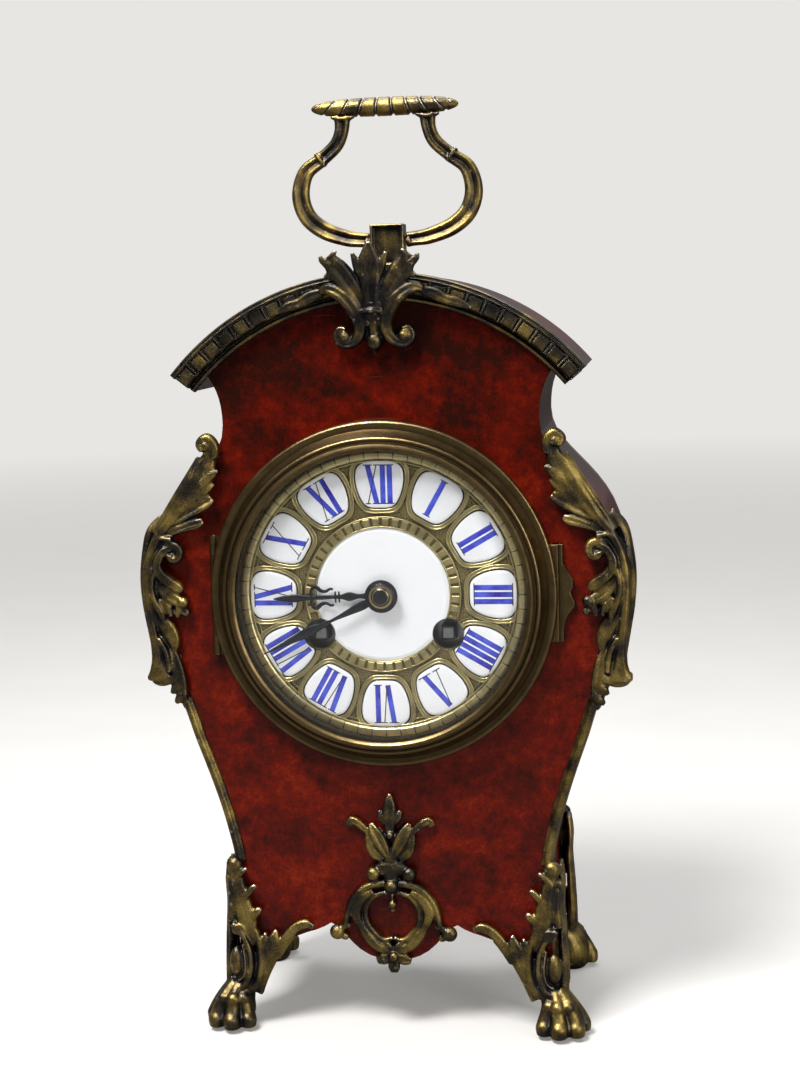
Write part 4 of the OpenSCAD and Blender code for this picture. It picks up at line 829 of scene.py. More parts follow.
def paw(c):
    """A lion's paw: a heel, three toes in front with a knuckle each, and one at the side."""
    c.rod([(46.8, 15.5, -1.5, 3.4, 4.2), (48.4, 12.2, -1.0, 4.4, 5.0), (50.2, 8.0, -1.0, 5.8, 5.8),
           (50.8, 4.4, -0.8, 6.2, 6.0), (50.8, 1.4, -0.8, 5.6, 5.6), (50.8, -0.2, -0.8, 4.6, 4.6)],
          cuts=20, around=20, low=ROUND_THE_SIDE)
    for x, f, r in ((45.7, 4.4, 2.6), (50.3, 6.4, 2.9), (55.4, 4.6, 2.8), (57.6, -0.4, 2.1)):
        lean = x - 49.6
        c.rod([(48.4 + lean * 0.3, 15.0, f * 0.2 + 0.6, 1.3, 1.8),
               (49.2 + lean * 0.55, 11.4, f * 0.5 + 1.0, r * 0.72, r * 0.85),
               (49.6 + lean * 0.82, 7.4, f * 0.8 + 0.5, r * 0.80, r * 0.9),
               (x, 3.6, f + 0.3, r, r * 1.08), (x, 1.2, f, r * 0.86, r)], cuts=20, around=14,
              low=ROUND_THE_SIDE)
        c.ball(49.4 + lean * 0.62, 10.2, f * 0.6 + 1.9, r * 0.78)
        c.ball(x, 3.9, f + 0.9, r * 0.98, 1.0, 0.95)


# Mount on the apron

def apron(material):
    c = Casting()
    c.rod([(0, 61.6, 1.6, 1.5, 1.6), (0, 66.0, 1.9, 1.8, 1.8), (0, 70.6, 2.0, 2.2, 1.6),
           (0, 73.2, 1.8, 1.4, 1.1), (0, 74.9, 1.5, 0.5, 0.7)], 0.35, cuts=24, around=16)
    c.rod([(1.3, 65.4, 1.6, 0.8, 1.3), (2.5, 67.6, 1.8, 1.3, 1.4), (3.2, 69.8, 1.5, 0.6, 0.8)], 0.2,
          both=True)
    c.rod([(0.6, 55.0, 1.8, 1.0, 1.6), (2.0, 58.0, 2.1, 1.9, 1.9), (3.5, 61.0, 2.2, 2.3, 2.0),
           (5.0, 63.8, 2.0, 1.8, 1.6), (5.9, 65.8, 1.7, 0.6, 0.8)], 0.5, cuts=26, around=20,
          both=True)
    c.rod([(2.6, 54.6, 1.5, 1.6, 1.5), (5.4, 56.8, 1.7, 1.7, 1.7), (6.5, 60.4, 1.7, 1.3, 1.5),
           (6.7, 63.6, 1.6, 0.8, 1.1)], 0.35, around=16, both=True)
    c.rod([(6.0, 62.4, 1.6, 0.9, 1.3), (8.0, 64.2, 1.7, 1.2, 1.4), (10.2, 66.0, 1.7, 1.3, 1.4),
           (12.0, 66.4, 1.5, 1.3, 1.2), (12.8, 64.8, 1.3, 1.0, 0.9)], 0.4, cuts=22, around=14,
          both=True)
    c.ball(0, 62.4, 2.8, 1.2)
    c.rod([(-5.2, 50.8, 1.3, 1.6, 1.4), (0, 51.8, 1.8, 2.8, 1.8), (5.2, 50.8, 1.3, 1.6, 1.4)])
    c.rod([(0, 55.6, 1.6, 2.2, 1.6), (0, 51.0, 1.7, 2.6, 1.7), (0, 46.4, 1.6, 2.2, 1.7)], 0.1)
    c.ball(0, 46.2, 2.4, 2.3)
    c.ball(5.5, 50.0, 2.1, 2.3, 0.95, both=True)
    c.rod([(0, 43.4, 1.2, 0.6, 1.1), (0, 41.4, 1.2, 0.5, 1.0)])
    c.ball(0, 40.2, 1.6, 1.35)
    c.ball(0, 38.4, 1.2, 0.8)
    c.rod([(1.0, 46.6, 1.4, 1.2, 1.4), (5.2, 46.6, 1.6, 1.3, 1.5), (9.4, 44.6, 1.6, 1.3, 1.6),
           (12.6, 40.8, 1.6, 1.2, 1.6), (14.0, 36.4, 1.6, 1.1, 1.5), (14.8, 33.4, 1.5, 1.1, 1.4),
           (17.0, 31.6, 1.5, 1.4, 1.5)], cuts=36, both=True)
    c.rod([(5.8, 44.4, 1.6, 1.0, 1.5), (9.4, 42.0, 1.9, 1.7, 1.8), (11.2, 38.4, 1.9, 1.9, 1.8),
           (10.8, 35.2, 1.8, 1.6, 1.7), (9.4, 33.2, 1.6, 1.2, 1.4)], 0.2, cuts=26, around=16,
          both=True)
    c.rod([(1.8, 44.0, 1.3, 0.9, 1.2), (5.6, 42.6, 1.4, 0.9, 1.2), (8.2, 38.8, 1.4, 1.0, 1.2),
           (8.0, 34.4, 1.4, 1.0, 1.2), (5.4, 30.6, 1.4, 1.0, 1.2), (2.8, 28.9, 1.4, 0.9, 1.2),
           (0.2, 29.6, 1.3, 0.7, 1.0)], cuts=34, both=True)
    c.rod([(10.0, 33.6, 1.5, 1.2, 1.4), (8.0, 30.4, 1.7, 1.6, 1.6), (5.4, 27.4, 1.7, 1.6, 1.6),
           (2.6, 25.4, 1.6, 1.3, 1.5)], 0.2, cuts=24, around=16, both=True)
    c.ball(17.3, 31.2, 1.7, 2.4, 0.85, both=True)
    c.ball(15.0, 29.8, 1.3, 1.3, both=True)
    c.ball(13.9, 33.4, 1.8, 1.0, both=True)
    petals = 5
    for n in range(petals):
        angle = math.radians(126 + 360 * n / petals)
        c.rod([(0.8 * math.cos(angle), 24.0 + 0.8 * math.sin(angle), 1.6, 1.0, 1.3),
               (3.3 * math.cos(angle), 24.0 + 3.3 * math.sin(angle), 1.9, 1.9, 1.5),
               (5.6 * math.cos(angle), 24.0 + 5.4 * math.sin(angle), 1.6, 1.1, 1.1)], 0.5,
              around=16)
    c.ball(0, 24.0, 2.6, 1.6)
    c.finish("apron_casting", "apron_mount", material, pitch=0.25, smoothing=2)


# Handle

def handle_loop(material):
    """A channelled band that steps at its shoulders and flares under the grip."""
    c = Casting()
    f = FRONT_Y               # the clock's middle
    keys = [(dx, PIVOT_LINE + dz, f, w, 2.15) for dx, dz, w in (
        (5.9, 0.8, 2.2), (9.4, 1.1, 2.3), (13.0, 1.7, 2.5), (19.75, 4.2, 2.7), (24.8, 8.6, 2.8),
        (26.7, 15.0, 2.8), (24.9, 21.7, 2.5), (20.0, 25.5, 2.2), (15.3, 29.7, 2.2),
        (13.4, 34.0, 2.2), (13.1, 38.6, 2.6))]
    c.rod(keys, 0.7, cuts=70, around=20, both=True, low=ANYWHERE)
    c.rod([(21.6, PIVOT_LINE + 27.6, f, 0.7, 1.8), (20.2, PIVOT_LINE + 25.6, f, 1.0, 2.0),
           (18.8, PIVOT_LINE + 23.6, f, 0.7, 1.8)], both=True, low=ANYWHERE)
    c.rod([(9.4, PIVOT_LINE + 38.2, f, 0.5, 1.4), (12.9, PIVOT_LINE + 37.4, f, 1.1, 1.9),
           (16.6, PIVOT_LINE + 38.2, f, 0.5, 1.4)], both=True, low=ANYWHERE)
    c.rod([(5.45, PIVOT_LINE, f, 1.7, 1.7), (6.9, PIVOT_LINE + 0.4, f, 1.9, 1.9)], both=True,
          low=ANYWHERE)
    c.finish("handle_loop_casting", "handle_loop", material, body="handle", pitch=0.25,
             smoothing=2)


def handle_staple(material):
    """A square staple with a sunk front and back, its edges rounded, on a wider foot."""
    low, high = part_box("handle_staple")
    sizes = high - low
    step, foot_height = 2 * MM, 4 * MM
    frame_width, slope, sunk = 1.1 * MM, 0.25 * MM, 1.3 * MM
    shape = bmesh.new()
    add_block(shape, (low + high) / 2, (sizes.x - step, sizes.y - step, sizes.z))
    faces = [f for f in shape.faces if abs(f.normal.y) > 0.9]
    bmesh.ops.inset_individual(shape, faces=faces, thickness=frame_width, depth=0)
    bmesh.ops.inset_individual(shape, faces=faces, thickness=slope, depth=-sunk)
    bevel(shape, [e for e in shape.edges if e.calc_face_angle(0) > 0.5], 0.35 * MM, 2)
    foot_plate = bmesh.new()
    add_block(foot_plate, (0, 0, low.z + foot_height / 2), (sizes.x, sizes.y, foot_height))
    bevel(foot_plate, foot_plate.edges[:], 0.5 * MM, 2)
    add_shape(shape, foot_plate)
    finish_piece("handle_staple_block", mesh_of(shape, "handle_staple_block"), material,
                 "case", ("handle_staple",), smooth=False)


def grip(material):
    """A hand grip of wrapped segments that lean away from the middle, with pointed ends."""
    half = (GRIP_HIGH.x - GRIP_LOW.x) / 2 / MM
    radius = (GRIP_HIGH.z - GRIP_LOW.z) / 2 / MM
    middle = (GRIP_LOW + GRIP_HIGH) / 2
    segment, lean = 4.75, 2.6
    shape = plain_tube(40, 260)
    for vert in shape.verts:
        along = vert.co.z * 2
        angle = math.atan2(vert.co.y, vert.co.x)
        x = along * half
        place = (x + lean * along * math.sin(angle)) / segment + 0.5
        edge = abs(place - round(place))
        seam = 0.15 * math.exp(-(edge / 0.075) ** 2) - 0.05 * math.exp(-((edge - 0.16) / 0.06) ** 2)
        bulge = 0.95 - 0.06 * (1 - 2 * edge) ** 2 - seam
        taper = (1 - abs(along) ** 6) ** 0.5 * (0.80 + 0.20 * math.cos(along * math.pi / 2))
        r = radius * max(bulge * taper, 0.02)
        vert.co = middle + Vector((x, -r * math.cos(angle), r * math.sin(angle))) * MM
    finish_piece("handle_grip_casting", mesh_of(shape, "handle_grip_casting"), material,
                 "handle", ("handle_grip",))


# Moulding along the roof's front

PANEL_PITCH = math.radians(4.17)


def roof_moulding(material):
    """A run moulding with square panels and narrow bars between them."""
    low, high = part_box("roof_moulding")
    lip = high.z / MM - ROOF_CENTRE_Z
    spread = math.asin(high.x / MM / lip)
    inner = (low.z / MM - ROOF_CENTRE_Z) / math.cos(spread)
    reach = FRONT_Y - low.y / MM
    shape = bmesh.new()
    profile = ((inner, 0.05), (inner, 1.6), (inner + 0.3, 2.2), (inner + 0.9, 2.5),
               (inner + 1.5, 2.2), (inner + 1.8, 1.6), (inner + 2.0, 3.2),
               (inner + 2.3, reach - 2.2), (lip - 2.0, reach - 1.7), (lip - 1.8, reach - 0.5),
               (lip - 1.4, reach - 0.1), (lip - 1.0, reach - 0.5), (lip - 0.9, reach - 0.9),
               (lip - 0.6, reach - 0.5), (lip - 0.3, reach - 0.4), (lip - 0.05, reach - 0.8),
               (lip, 0.05))
    verts = [shape.verts.new((r * math.sin(-spread), ROOF_CENTRE_Z + r * math.cos(spread), f))
             for r, f in profile]
    edges = [shape.edges.new((verts[i - 1], verts[i])) for i in range(len(verts))]
    bmesh.ops.spin(shape, geom=verts + edges, cent=(0, ROOF_CENTRE_Z, 0), axis=(0, 0, -1),
                   angle=2 * spread, steps=120, use_duplicate=False)
    bmesh.ops.holes_fill(shape, edges=[e for e in shape.edges if e.is_boundary], sides=40)
    panels = round(2 * spread / PANEL_PITCH)
    middle = (inner + 2.2 + lip - 1.8) / 2
    height, thick = lip - inner - 4.2, 3.2
    for i in range(panels):
        at = -spread + 2 * spread * (i + 0.5) / panels
        bar_at = at + spread / panels
        for turn, width, top in ((at, 4.55, reach - 0.8), (bar_at, 0.42, reach - 0.5)):
            block = bmesh.new()
            add_block(block, (0, 0, 0), (width, height, thick))
            bevel(block, edges_above(block, 1), min(width * 0.3, 0.8), 3)
            place = Matrix.Translation((0, ROOF_CENTRE_Z, 0)) @ Matrix.Rotation(-turn, 4, "Z") \
                @ Matrix.Translation((0, middle, top - thick / 2))
            bmesh.ops.transform(block, matrix=place, verts=block.verts)
            add_shape(shape, block)
    for vert in shape.verts:
        vert.co = place_on_face(*vert.co)
    finish_piece("roof_moulding_run", mesh_of(shape, "roof_moulding_run"), material, "case",
                 ("roof_moulding",), smooth=False)


# Bent boards and turned brass

ROUND_NODES = ("side_left", "side_right", "roof_board", "bezel_ring", "dial_plate", "hand_collet",
               "movement_drum", "back_ring", "back_door", "back_door_knob", "bell")
SHARP = math.radians(28)


def rounded_copy(node):
    """A node's mesh with its doubles merged, shaded round between its sharp edges."""
    shape = bmesh.new()
    shape.from_mesh(frame["nodes"][node].data)
    bmesh.ops.remove_doubles(shape, verts=shape.verts, dist=0.001 * MM)
    for edge in shape.edges:
        edge.smooth = len(edge.link_faces) == 2 and edge.calc_face_angle() < SHARP
    return shape


def bent_and_turned():
    """Boards and rings whose curves are shaded round, on the bodies and slots of their nodes."""
    record = frame["record"]
    bodies = {node: body for body, nodes in record["behaviour"]["bodies"].items() for node in nodes}
    for node in ROUND_NODES:
        name = node + "_round"
        material = frame["nodes"][node].data.materials[0]
        finish_piece(name, mesh_of(rounded_copy(node), name), material, bodies[node],
                     (node,))


# Base of the bezel

EAR = ((-4, 14.6), (1.5, 14.6), (1.5, 8.8), (3.0, 6.4), (4.4, 4.1), (4.4, 1.7), (3.7, 0.3),
       (4.1, -1.0), (5.0, -2.7), (4.6, -4.4), (2.9, -6.4), (1.9, -8.8), (1.5, -11.4),
       (1.5, -14.6), (-4, -14.6))
EAR_RIB = ((-4, 14.6), (0.3, 14.6), (0.3, -14.6), (-4, -14.6))


def ear_plate(outline, top, edge):
    """A plate with bevelled upper edges, drawn from the bezel's right edge."""
    shape, _ = plate([(BEZEL_R + x, DIAL_Z + z) for x, z in outline], 0.05, top)
    bevel(shape, edges_above(shape, 1), edge, 3)
    for vert in shape.verts:
        vert.co = place_on_face(*vert.co)
    return shape


def bezel_base(material):
    """The fixed ring without its plain ear, and a stepped ear with a bevelled rib."""
    ring = rounded_copy("bezel_base")
    ring_r = BEZEL_R - 1
    for vert in ring.verts:
        out = Vector((vert.co.x / MM, vert.co.z / MM - DIAL_Z))
        if out.x > 0 and out.length > ring_r:
            out *= ring_r / out.length
            vert.co.x, vert.co.z = out.x * MM, (out.y + DIAL_Z) * MM
    finish_piece("bezel_base_ring", mesh_of(ring, "bezel_base_ring"), material, "case",
                 ("bezel_base",))
    ear = ear_plate(EAR, 1.7, 0.45)
    add_shape(ear, ear_plate(EAR_RIB, 2.35, 0.6))
    finish_piece("bezel_base_ear", mesh_of(ear, "bezel_base_ear"), material, "case",
                 ("bezel_base",), smooth=False)


# Dial

NUMERALS = ("XII", "I", "II", "III", "IIII", "V", "VI", "VII", "VIII", "IX", "X", "XI")
HOUR = math.radians(30)
CHAPTER_R = 0.742 * DIAL_R
CARTOUCHE_H = 0.324 * DIAL_R
NUMERAL_H = 0.79 * CARTOUCHE_H
PLAQUE_TOP = 1.10         # a plaque's top over the dial plate
CARTOUCHE = ((0, 1), (0.62, 0.93), (0.98, 0.62), (1, 0), (0.8, -0.62), (0.5, -0.95), (0, -1),
             (-0.5, -0.95), (-0.8, -0.62), (-1, 0), (-0.98, 0.62), (-0.62, 0.93))


def dial_turn(hour, height):
    """Places a flat shape drawn upright at the dial's middle at an hour's place."""
    upright = Matrix.Rotation(math.radians(90), 4, "X")
    place = Matrix.Translation((0, (FRONT_Y - height) * MM, DIAL_Z * MM))
    return place @ upright @ Matrix.Rotation(-HOUR * hour, 4, "Z") @ Matrix.Scale(MM, 4)


def cartouche_line(scale, steps):
    """Closed outline of a cartouche, its widest end away from the centre."""
    loop = [*CARTOUCHE[-1:], *CARTOUCHE, *CARTOUCHE[:2]]
    count = len(CARTOUCHE)
    line = []
    for i in range(steps):
        share = (1 + i * count / steps) / (len(loop) - 1)
        x, y = curve_at(loop, share)
        line.append((x * scale, y * scale))
    return line


def keep_off_winding(vert, turn):
    """Pushes a plaque's point out of a winding hole."""
    x, y = turn @ vert.co.xy
    hole_x = math.copysign(WIND_X, x)
    away = Vector((x - hole_x, y - WIND_Z))
    clear = WIND_R + 0.3
    if away.length < clear:
        away *= clear / away.length
        vert.co.xy = turn.inverted() @ (away + Vector((hole_x, WIND_Z)))


def cartouches(material):
    """Twelve domed enamel plaques."""
    whole = bmesh.new()
    outline = [(x, y + CHAPTER_R) for x, y in cartouche_line(CARTOUCHE_H / 2, 36)]
    for hour in range(12):
        shape, face = plate(outline, 0, 0.45)
        bmesh.ops.recalc_face_normals(shape, faces=shape.faces)
        for thickness, depth in ((0.12, 0.22), (0.25, 0.22), (0.45, 0.14), (0.7, 0.06)):
            bmesh.ops.inset_region(shape, faces=face, thickness=thickness, depth=depth,
                                   use_even_offset=True)
        turn = Matrix.Rotation(-HOUR * hour, 2)
        for vert in shape.verts:
            keep_off_winding(vert, turn)
        bmesh.ops.transform(shape, matrix=dial_turn(hour, DIAL_F), verts=shape.verts)
        add_shape(whole, shape)
    finish_piece("enamel_cartouches", mesh_of(whole, "enamel_cartouches"), material, "case",
                 ("numeral_cartouches",))


def stroke(shape, start, end, width, height):
    """A flat painted stroke between two points."""
    run = Vector((end[0] - start[0], end[1] - start[1], 0))
    middle = ((start[0] + end[0]) / 2, (start[1] + end[1]) / 2, 0)
    add_block(shape, middle, (run.length, width, height),
              Matrix.Rotation(math.atan2(run.y, run.x), 4, "Z"))


def numeral_strokes(thick, thin, text):
    """Strokes of one numeral, drawn upright about its middle: thick ones and hairlines."""
    bar, hair, pitch = 1.55, 0.3, 2.08
    bar_paint, hair_paint = 0.07, 0.08
    spread = (4.1, 2.9, 2.6, 2.4)[len(text) - 1]
    widths = {"I": pitch, "V": spread + 1.6, "X": spread + 1.6}
    left = -sum(widths[letter] for letter in text) / 2
    h = NUMERAL_H / 2
    for letter in text:
        right = left + widths[letter]
        mid = (left + right) / 2
        if letter == "I":
            stroke(thick, (mid, -h), (mid, h), bar, bar_paint)
            serifs = ((mid, h, 1.25), (mid, -h, 1.25))
        elif letter == "V":
            stroke(thick, (mid - spread / 2, h), (mid + 0.25, -h), bar, bar_paint)
            stroke(thin, (mid + spread / 2, h), (mid + 0.5, -h), hair, hair_paint)
            serifs = ((mid - spread / 2, h, spread / 2), (mid + spread / 2, h, 0.3 * spread))
        else:
            half = spread / 2
            stroke(thick, (mid - half, h), (mid + half, -h), bar, bar_paint)
            stroke(thin, (mid + half, h), (mid - half, -h), hair, hair_paint)
            serifs = ((mid - half, h, half), (mid + half, h, 0.6 * half),
                      (mid - half, -h, 0.6 * half), (mid + half, -h, half))
        for x, y, reach in serifs:
            stroke(thin, (x - reach, y), (x + reach, y), hair, hair_paint)
        left = right


def numerals(blue, painted_hole_shade):
    """Painted hours, their feet towards the centre; the five is painted the other way up."""
    thick, thin = bmesh.new(), bmesh.new()
    for hour, text in enumerate(NUMERALS):
        place = dial_turn(hour, DIAL_F + PLAQUE_TOP)
        strokes, hairlines = bmesh.new(), bmesh.new()
        numeral_strokes(strokes, hairlines, text)
        for whole, shape in ((thick, strokes), (thin, hairlines)):
            if text == "V":
                bmesh.ops.rotate(shape, verts=shape.verts, matrix=Matrix.Rotation(math.pi, 3, "Z"))
            bmesh.ops.translate(shape, verts=shape.verts, vec=(0, CHAPTER_R, 0))
            bmesh.ops.transform(shape, matrix=place, verts=shape.verts)
            add_shape(whole, shape)
    for name, shape, finish in (("painted_strokes", thick, blue),
                                ("painted_hairlines", thin, painted_hole_shade)):
        finish_piece(name, mesh_of(shape, name), finish, "case", smooth=False)


def clear_of_winding(x, y, margin):
    return (abs(x) - WIND_X) ** 2 + (y - WIND_Z) ** 2 > (WIND_R + margin) ** 2


def strap(curve, points, height):
    """One closed strap of the dial's casting, broken off at the winding holes."""
    count = len(points)
    open_at = [clear_of_winding(x, y, 0.1) for x, y in points]
    start = open_at.index(False) if False in open_at else 0
    runs = [[]]
    for i in range(count + 1):
        k = (start + i) % count
        if open_at[k]:
            runs[-1].append(points[k])
        elif runs[-1]:
            runs.append([])
    for run in (r for r in runs if len(r) > 1):
        line = curve.splines.new("POLY")
        line.points.add(len(run) - 1)
        for point, (x, y) in zip(line.points, run):
            point.co = (x, y, height, 1)


def strapwork(name, width, material, rims, circles, veins):
    """Raised ridges round the cartouches, along circles and in the fields between them."""
    curve = bpy.data.curves.new(name, "CURVE")
    vein_steps, vein_height = 6, 0.1
    curve.dimensions = "3D"
    curve.bevel_depth = width
    curve.bevel_resolution = 2
    curve.use_fill_caps = True
    for hour in range(12):
        turn = Matrix.Rotation(-HOUR * hour, 2)
        for out, height in rims:
            strap(curve, [turn @ Vector((x, y + CHAPTER_R))
                          for x, y in cartouche_line(CARTOUCHE_H / 2 + out, 60)], height)
        for (x0, y0), (x1, y1) in veins:
            shares = [i / vein_steps for i in range(vein_steps + 1)]
            strap(curve, [turn @ Vector((x0 + (x1 - x0) * t, y0 + (y1 - y0) * t))
                          for t in shares], vein_height)
    for radius, height in circles:
        strap(curve, [(radius * math.cos(a * math.pi / 90), radius * math.sin(a * math.pi / 90))
                      for a in range(180)], height)
    mesh = settled_mesh(bpy.data.objects.new(name, curve))
    mesh.transform(dial_turn(0, DIAL_F))
    finish_piece(name, mesh, material, "case")


def dial_casting(material):
    """The dial's ridges, the lower bands between them and the little fans."""
    sight_r = DIAL_R - 1.2    # what the bezel leaves in sight
    strapwork("dial_ridges", 0.27, material, ((0.42, 0.55), (1.30, 0.50)),
              ((CENTRE_R + 0.3, 0.62), (CENTRE_R + 3.2, 0.62), (sight_r - 3.4, 0.62)), ())
    strapwork("dial_bands", 0.50, material, ((0.86, 0.12),), (), ())
    field = HOUR / 2
    outer, inner = sight_r - 4.2, CHAPTER_R + 1.5
    fan = [((r0 * math.sin(field + a0), r0 * math.cos(field + a0)),
            (r1 * math.sin(field + a1), r1 * math.cos(field + a1)))
           for r0, a0, r1, a1 in (
               (inner, 0.0, outer, 0.045), (inner, 0.0, outer, -0.045),
               (outer, -0.075, outer - 0.4, 0.0), (outer - 0.4, 0.0, outer, 0.075))]
    strapwork("dial_fans", 0.2, material, (), (), fan)


def bricks(name, count, inner, outer, height, gap, edge, rolled, material):
    """Raised blocks in a ring, chamfered all round or rolled over at their two ends."""
    shape = bmesh.new()
    middle = (inner + outer) / 2
    width = 2 * math.pi * middle / count - gap
    for block in range(count):
        turn = Matrix.Rotation(2 * math.pi * (block + 0.5) / count, 4, "Z")
        centre = turn @ Vector((0, middle, height / 2))
        if clear_of_winding(centre.x, centre.y, 1.5):
            add_block(shape, centre, (width, outer - inner, height), turn)
    upper = edges_above(shape, height * 0.9)
    if rolled:
        upper = [e for e in upper
                 if abs(e.verts[0].co.xy.length - e.verts[1].co.xy.length) < 0.5]
    bevel(shape, upper, edge, 4 if rolled else 1)
    bmesh.ops.transform(shape, matrix=dial_turn(0, DIAL_F), verts=shape.verts)
    finish_piece(name, mesh_of(shape, name), material, "case", smooth=False)


# Hands

HOUR_ANGLE, MINUTE_ANGLE = 268.4, 244.2      # where the hands stand, in degrees from twelve


def hand(name, stem, extras, angle, height, node, body, material):
    """A flat hand: a stem by half widths at distances from the centre, side pieces and a boss."""
    c = Casting()
    flat = 0.3
    c.rod([(0, y, 0, half, flat) for y, half in stem], cuts=90, around=8, low=-flat)
    for line in extras:
        c.rod([(x, y, 0, half, flat) for x, y, half in line], cuts=24, around=8, both=True,
              low=-flat)
    c.rod([(-4.0, 0, 0, 0.4, flat), (-2.6, 0, 0, 3.1, flat), (0, 0, 0, 4.1, flat),
           (2.6, 0, 0, 3.1, flat), (4.0, 0, 0, 0.4, flat)], cuts=24, around=16, low=-flat)
    turn = Matrix.Rotation(math.radians(-angle), 2)
    for vert in c.shape.verts:
        vert.co.z = min(vert.co.z, flat) + height
        vert.co.xy = turn @ vert.co.xy
        vert.co.y += DIAL_Z
    c.finish(name, node, material, body=body, pitch=0.13, smoothing=1, slot="blackened_steel")


def hour_hand(material):
    low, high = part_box("hour_hand")
    height = FRONT_Y - (low.y + high.y) / 2 / MM
    stem = ((2.0, 1.2), (5.0, 1.0), (7.0, 0.8), (9.8, 1.5), (12.0, 0.8), (13.2, 0.6), (14.8, 0.6),
            (18.0, 0.75), (21.0, 0.75), (23.2, 0.9), (26.0, 1.3), (29.0, 1.1), (31.4, 0.6),
            (33.0, 0.15))
    scroll = ((2.3, 14.6, 0.42), (2.5, 15.5, 0.42), (1.8, 16.8, 0.50), (2.0, 18.3, 0.64),
              (2.9, 19.3, 0.66), (3.2, 20.3, 0.58), (2.4, 21.2, 0.5), (1.2, 21.4, 0.46),
              (0.2, 21.0, 0.46))
    collars = [((0.0, y, 0.3), (0.8, y, 0.32), (1.7, y, 0.28)) for y in (12.9, 14.0)]
    hand("hour_hand_pierced", stem, [scroll, *collars], HOUR_ANGLE, height, "hour_hand",
         "hour_work", material)


def minute_hand(material):
    low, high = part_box("minute_hand")
    height = FRONT_Y - (low.y + high.y) / 2 / MM
    leaf = ((2.0, 1.2), (4.6, 1.3), (6.8, 1.5), (11.0, 1.05), (15.0, 0.62), (17.6, 0.55),
            (21.0, 1.1), (25.0, 1.6), (29.0, 1.25), (34.0, 0.7), (38.0, 0.35), (40.5, 0.12))
    hand("minute_hand_leaf", leaf, [], MINUTE_ANGLE, height, "minute_hand", "minute_work",
         material)


# Ground and surroundings

def make_ground():
    shape = bmesh.new()
    bmesh.ops.create_grid(shape, x_segments=1, y_segments=1, size=6)
    mesh = mesh_of(shape, "ground")
    mesh.materials.append(ground())
    floor = bpy.data.objects.new("ground", mesh)
    bpy.context.collection.objects.link(floor)


def make_sky():
    """A room that is dark in front, bright overhead and pale where it is seen."""
    world = bpy.data.worlds.new("studio")
    bpy.context.scene.world = world
    world.use_nodes = True
    sky = Looks(world.node_tree)
    way = sky.node("TexCoord", output="Generated")
    up, back = sky.axis("Z", way), sky.axis("Y", way)
    room = 0.07 + 0.5 * up.at_least(0.0) + 0.16 * back.at_least(0.0)
    seen = sky.node("LightPath", output="Is Camera Ray").at_least(
        sky.node("LightPath", output="Is Transmission Ray"))
    background = sky.tree.nodes["Background"]
    feed(sky.tree, background.inputs["Color"], sky.blend(seen, room, PALE))
    feed(sky.tree, background.inputs["Strength"], 1.0)


# The clock

def dress(material, nodes):
    """Gives CAD nodes their finish."""
    for node in nodes.split():
        materials = frame["nodes"][node].data.materials
        materials.clear()
        materials.append(material)


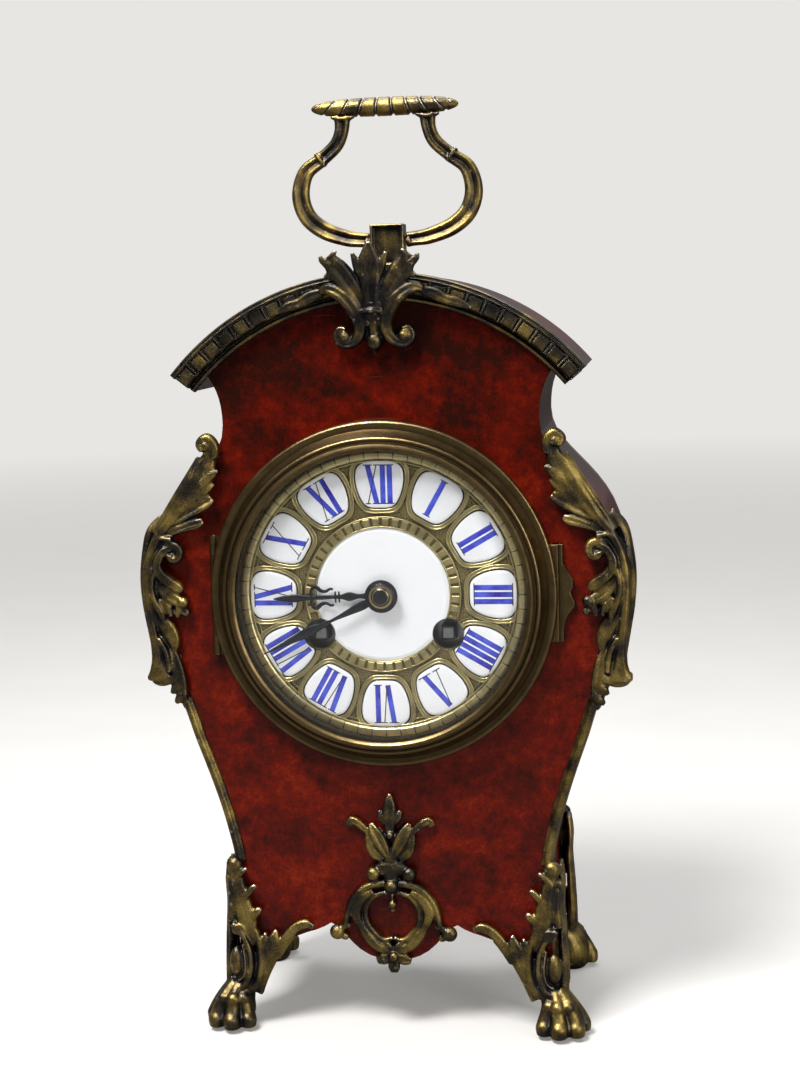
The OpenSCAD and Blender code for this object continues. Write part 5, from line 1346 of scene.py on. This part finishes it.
def main():
    make_camera()
    make_light()
    make_ground()
    make_sky()
    bronze = worn_and_shaded_bronze()
    plain_bronze = smooth_bronze()
    dial_brass = aged_brass("dial_brass", (0.82, 0.70, 0.35), (0.07, 0.055, 0.024), 0.27, 0.9)
    bezel_brass = aged_brass("bezel_brass", (0.145, 0.100, 0.045), (0.012, 0.008, 0.004), 0.25, 1.5)
    black_steel = blackened_steel()
    enamel = white_enamel()
    dress(tortoiseshell(), "front_board side_left side_right roof_board")
    dress(dark_wood(), "back_board floor_board")
    dress(plain_bronze, "roof_moulding crest_mount handle_staple handle_loop handle_grip "
          "shoulder_mount_left shoulder_mount_right edge_moulding_left edge_moulding_right "
          "foot_front_left foot_front_right foot_back_left foot_back_right apron_mount")
    dress(bezel_brass, "bezel_base bezel_ring back_ring back_door back_door_knob")
    dress(stippled_brass(), "dial_plate")
    dress(movement_brass(), "movement_drum front_plate back_plate plate_pillars hour_wheel "
          "minute_wheel intermediate_wheel going_barrel strike_barrel platform_plate "
          "balance_wheel balance_cock")
    dress(polished_steel(), "bezel_hinge_pin cannon_pinion centre_arbor going_ratchet "
          "strike_ratchet ratchet_clicks bell_stand strike_hammer back_door_pin")
    dress(winding_steel(), "going_arbor strike_arbor")
    dress(polished_steel("bell_metal", (0.58, 0.57, 0.54), 0.2), "bell")
    dress(black_steel, "hour_hand minute_hand")
    dress(collet_steel(), "hand_collet")
    dress(enamel, "dial_centre numeral_cartouches")
    dress(clear_glass(), "bezel_glass back_door_glass")
    # The crest gets a darker copy of the bronze: painted shade for the overhanging crest.
    crest(worn_and_shaded_bronze("crest_bronze_shaded", -0.35))
    shoulder("shoulder_casting_right", "shoulder_mount_right", 1, bronze)
    shoulder("shoulder_casting_left", "shoulder_mount_left", -1, bronze)
    for name, side, behind in (("front_left", -1, False), ("front_right", 1, False),
                               ("back_left", -1, True), ("back_right", 1, True)):
        foot("foot_casting_" + name, "foot_" + name, side, behind, bronze)
    apron(bronze)
    edge_moulding("edge_bead_right", "edge_moulding_right", 1, bronze)
    edge_moulding("edge_bead_left", "edge_moulding_left", -1, bronze)
    hour_hand(black_steel)
    minute_hand(black_steel)
    roof_moulding(smooth_bronze("moulding_bronze", -0.33))
    handle_loop(bronze)
    handle_staple(plain_bronze)
    grip(bronze)
    bent_and_turned()
    bezel_base(bezel_brass)
    cartouches(enamel)
    numerals(blue_enamel(), black_enamel())
    dial_casting(dial_brass)
    bricks("centre_bricks", 48, CENTRE_R + 0.55, CENTRE_R + 2.95, 1.05, 0.75, 0.25, False,
           dial_brass)
    bricks("minute_bricks", 60, DIAL_R - 4.3, DIAL_R - 1.4, 1.35, 0.26, 1.0, True, dial_brass)
    bpy.context.scene.view_settings.view_transform = "Standard"


main()
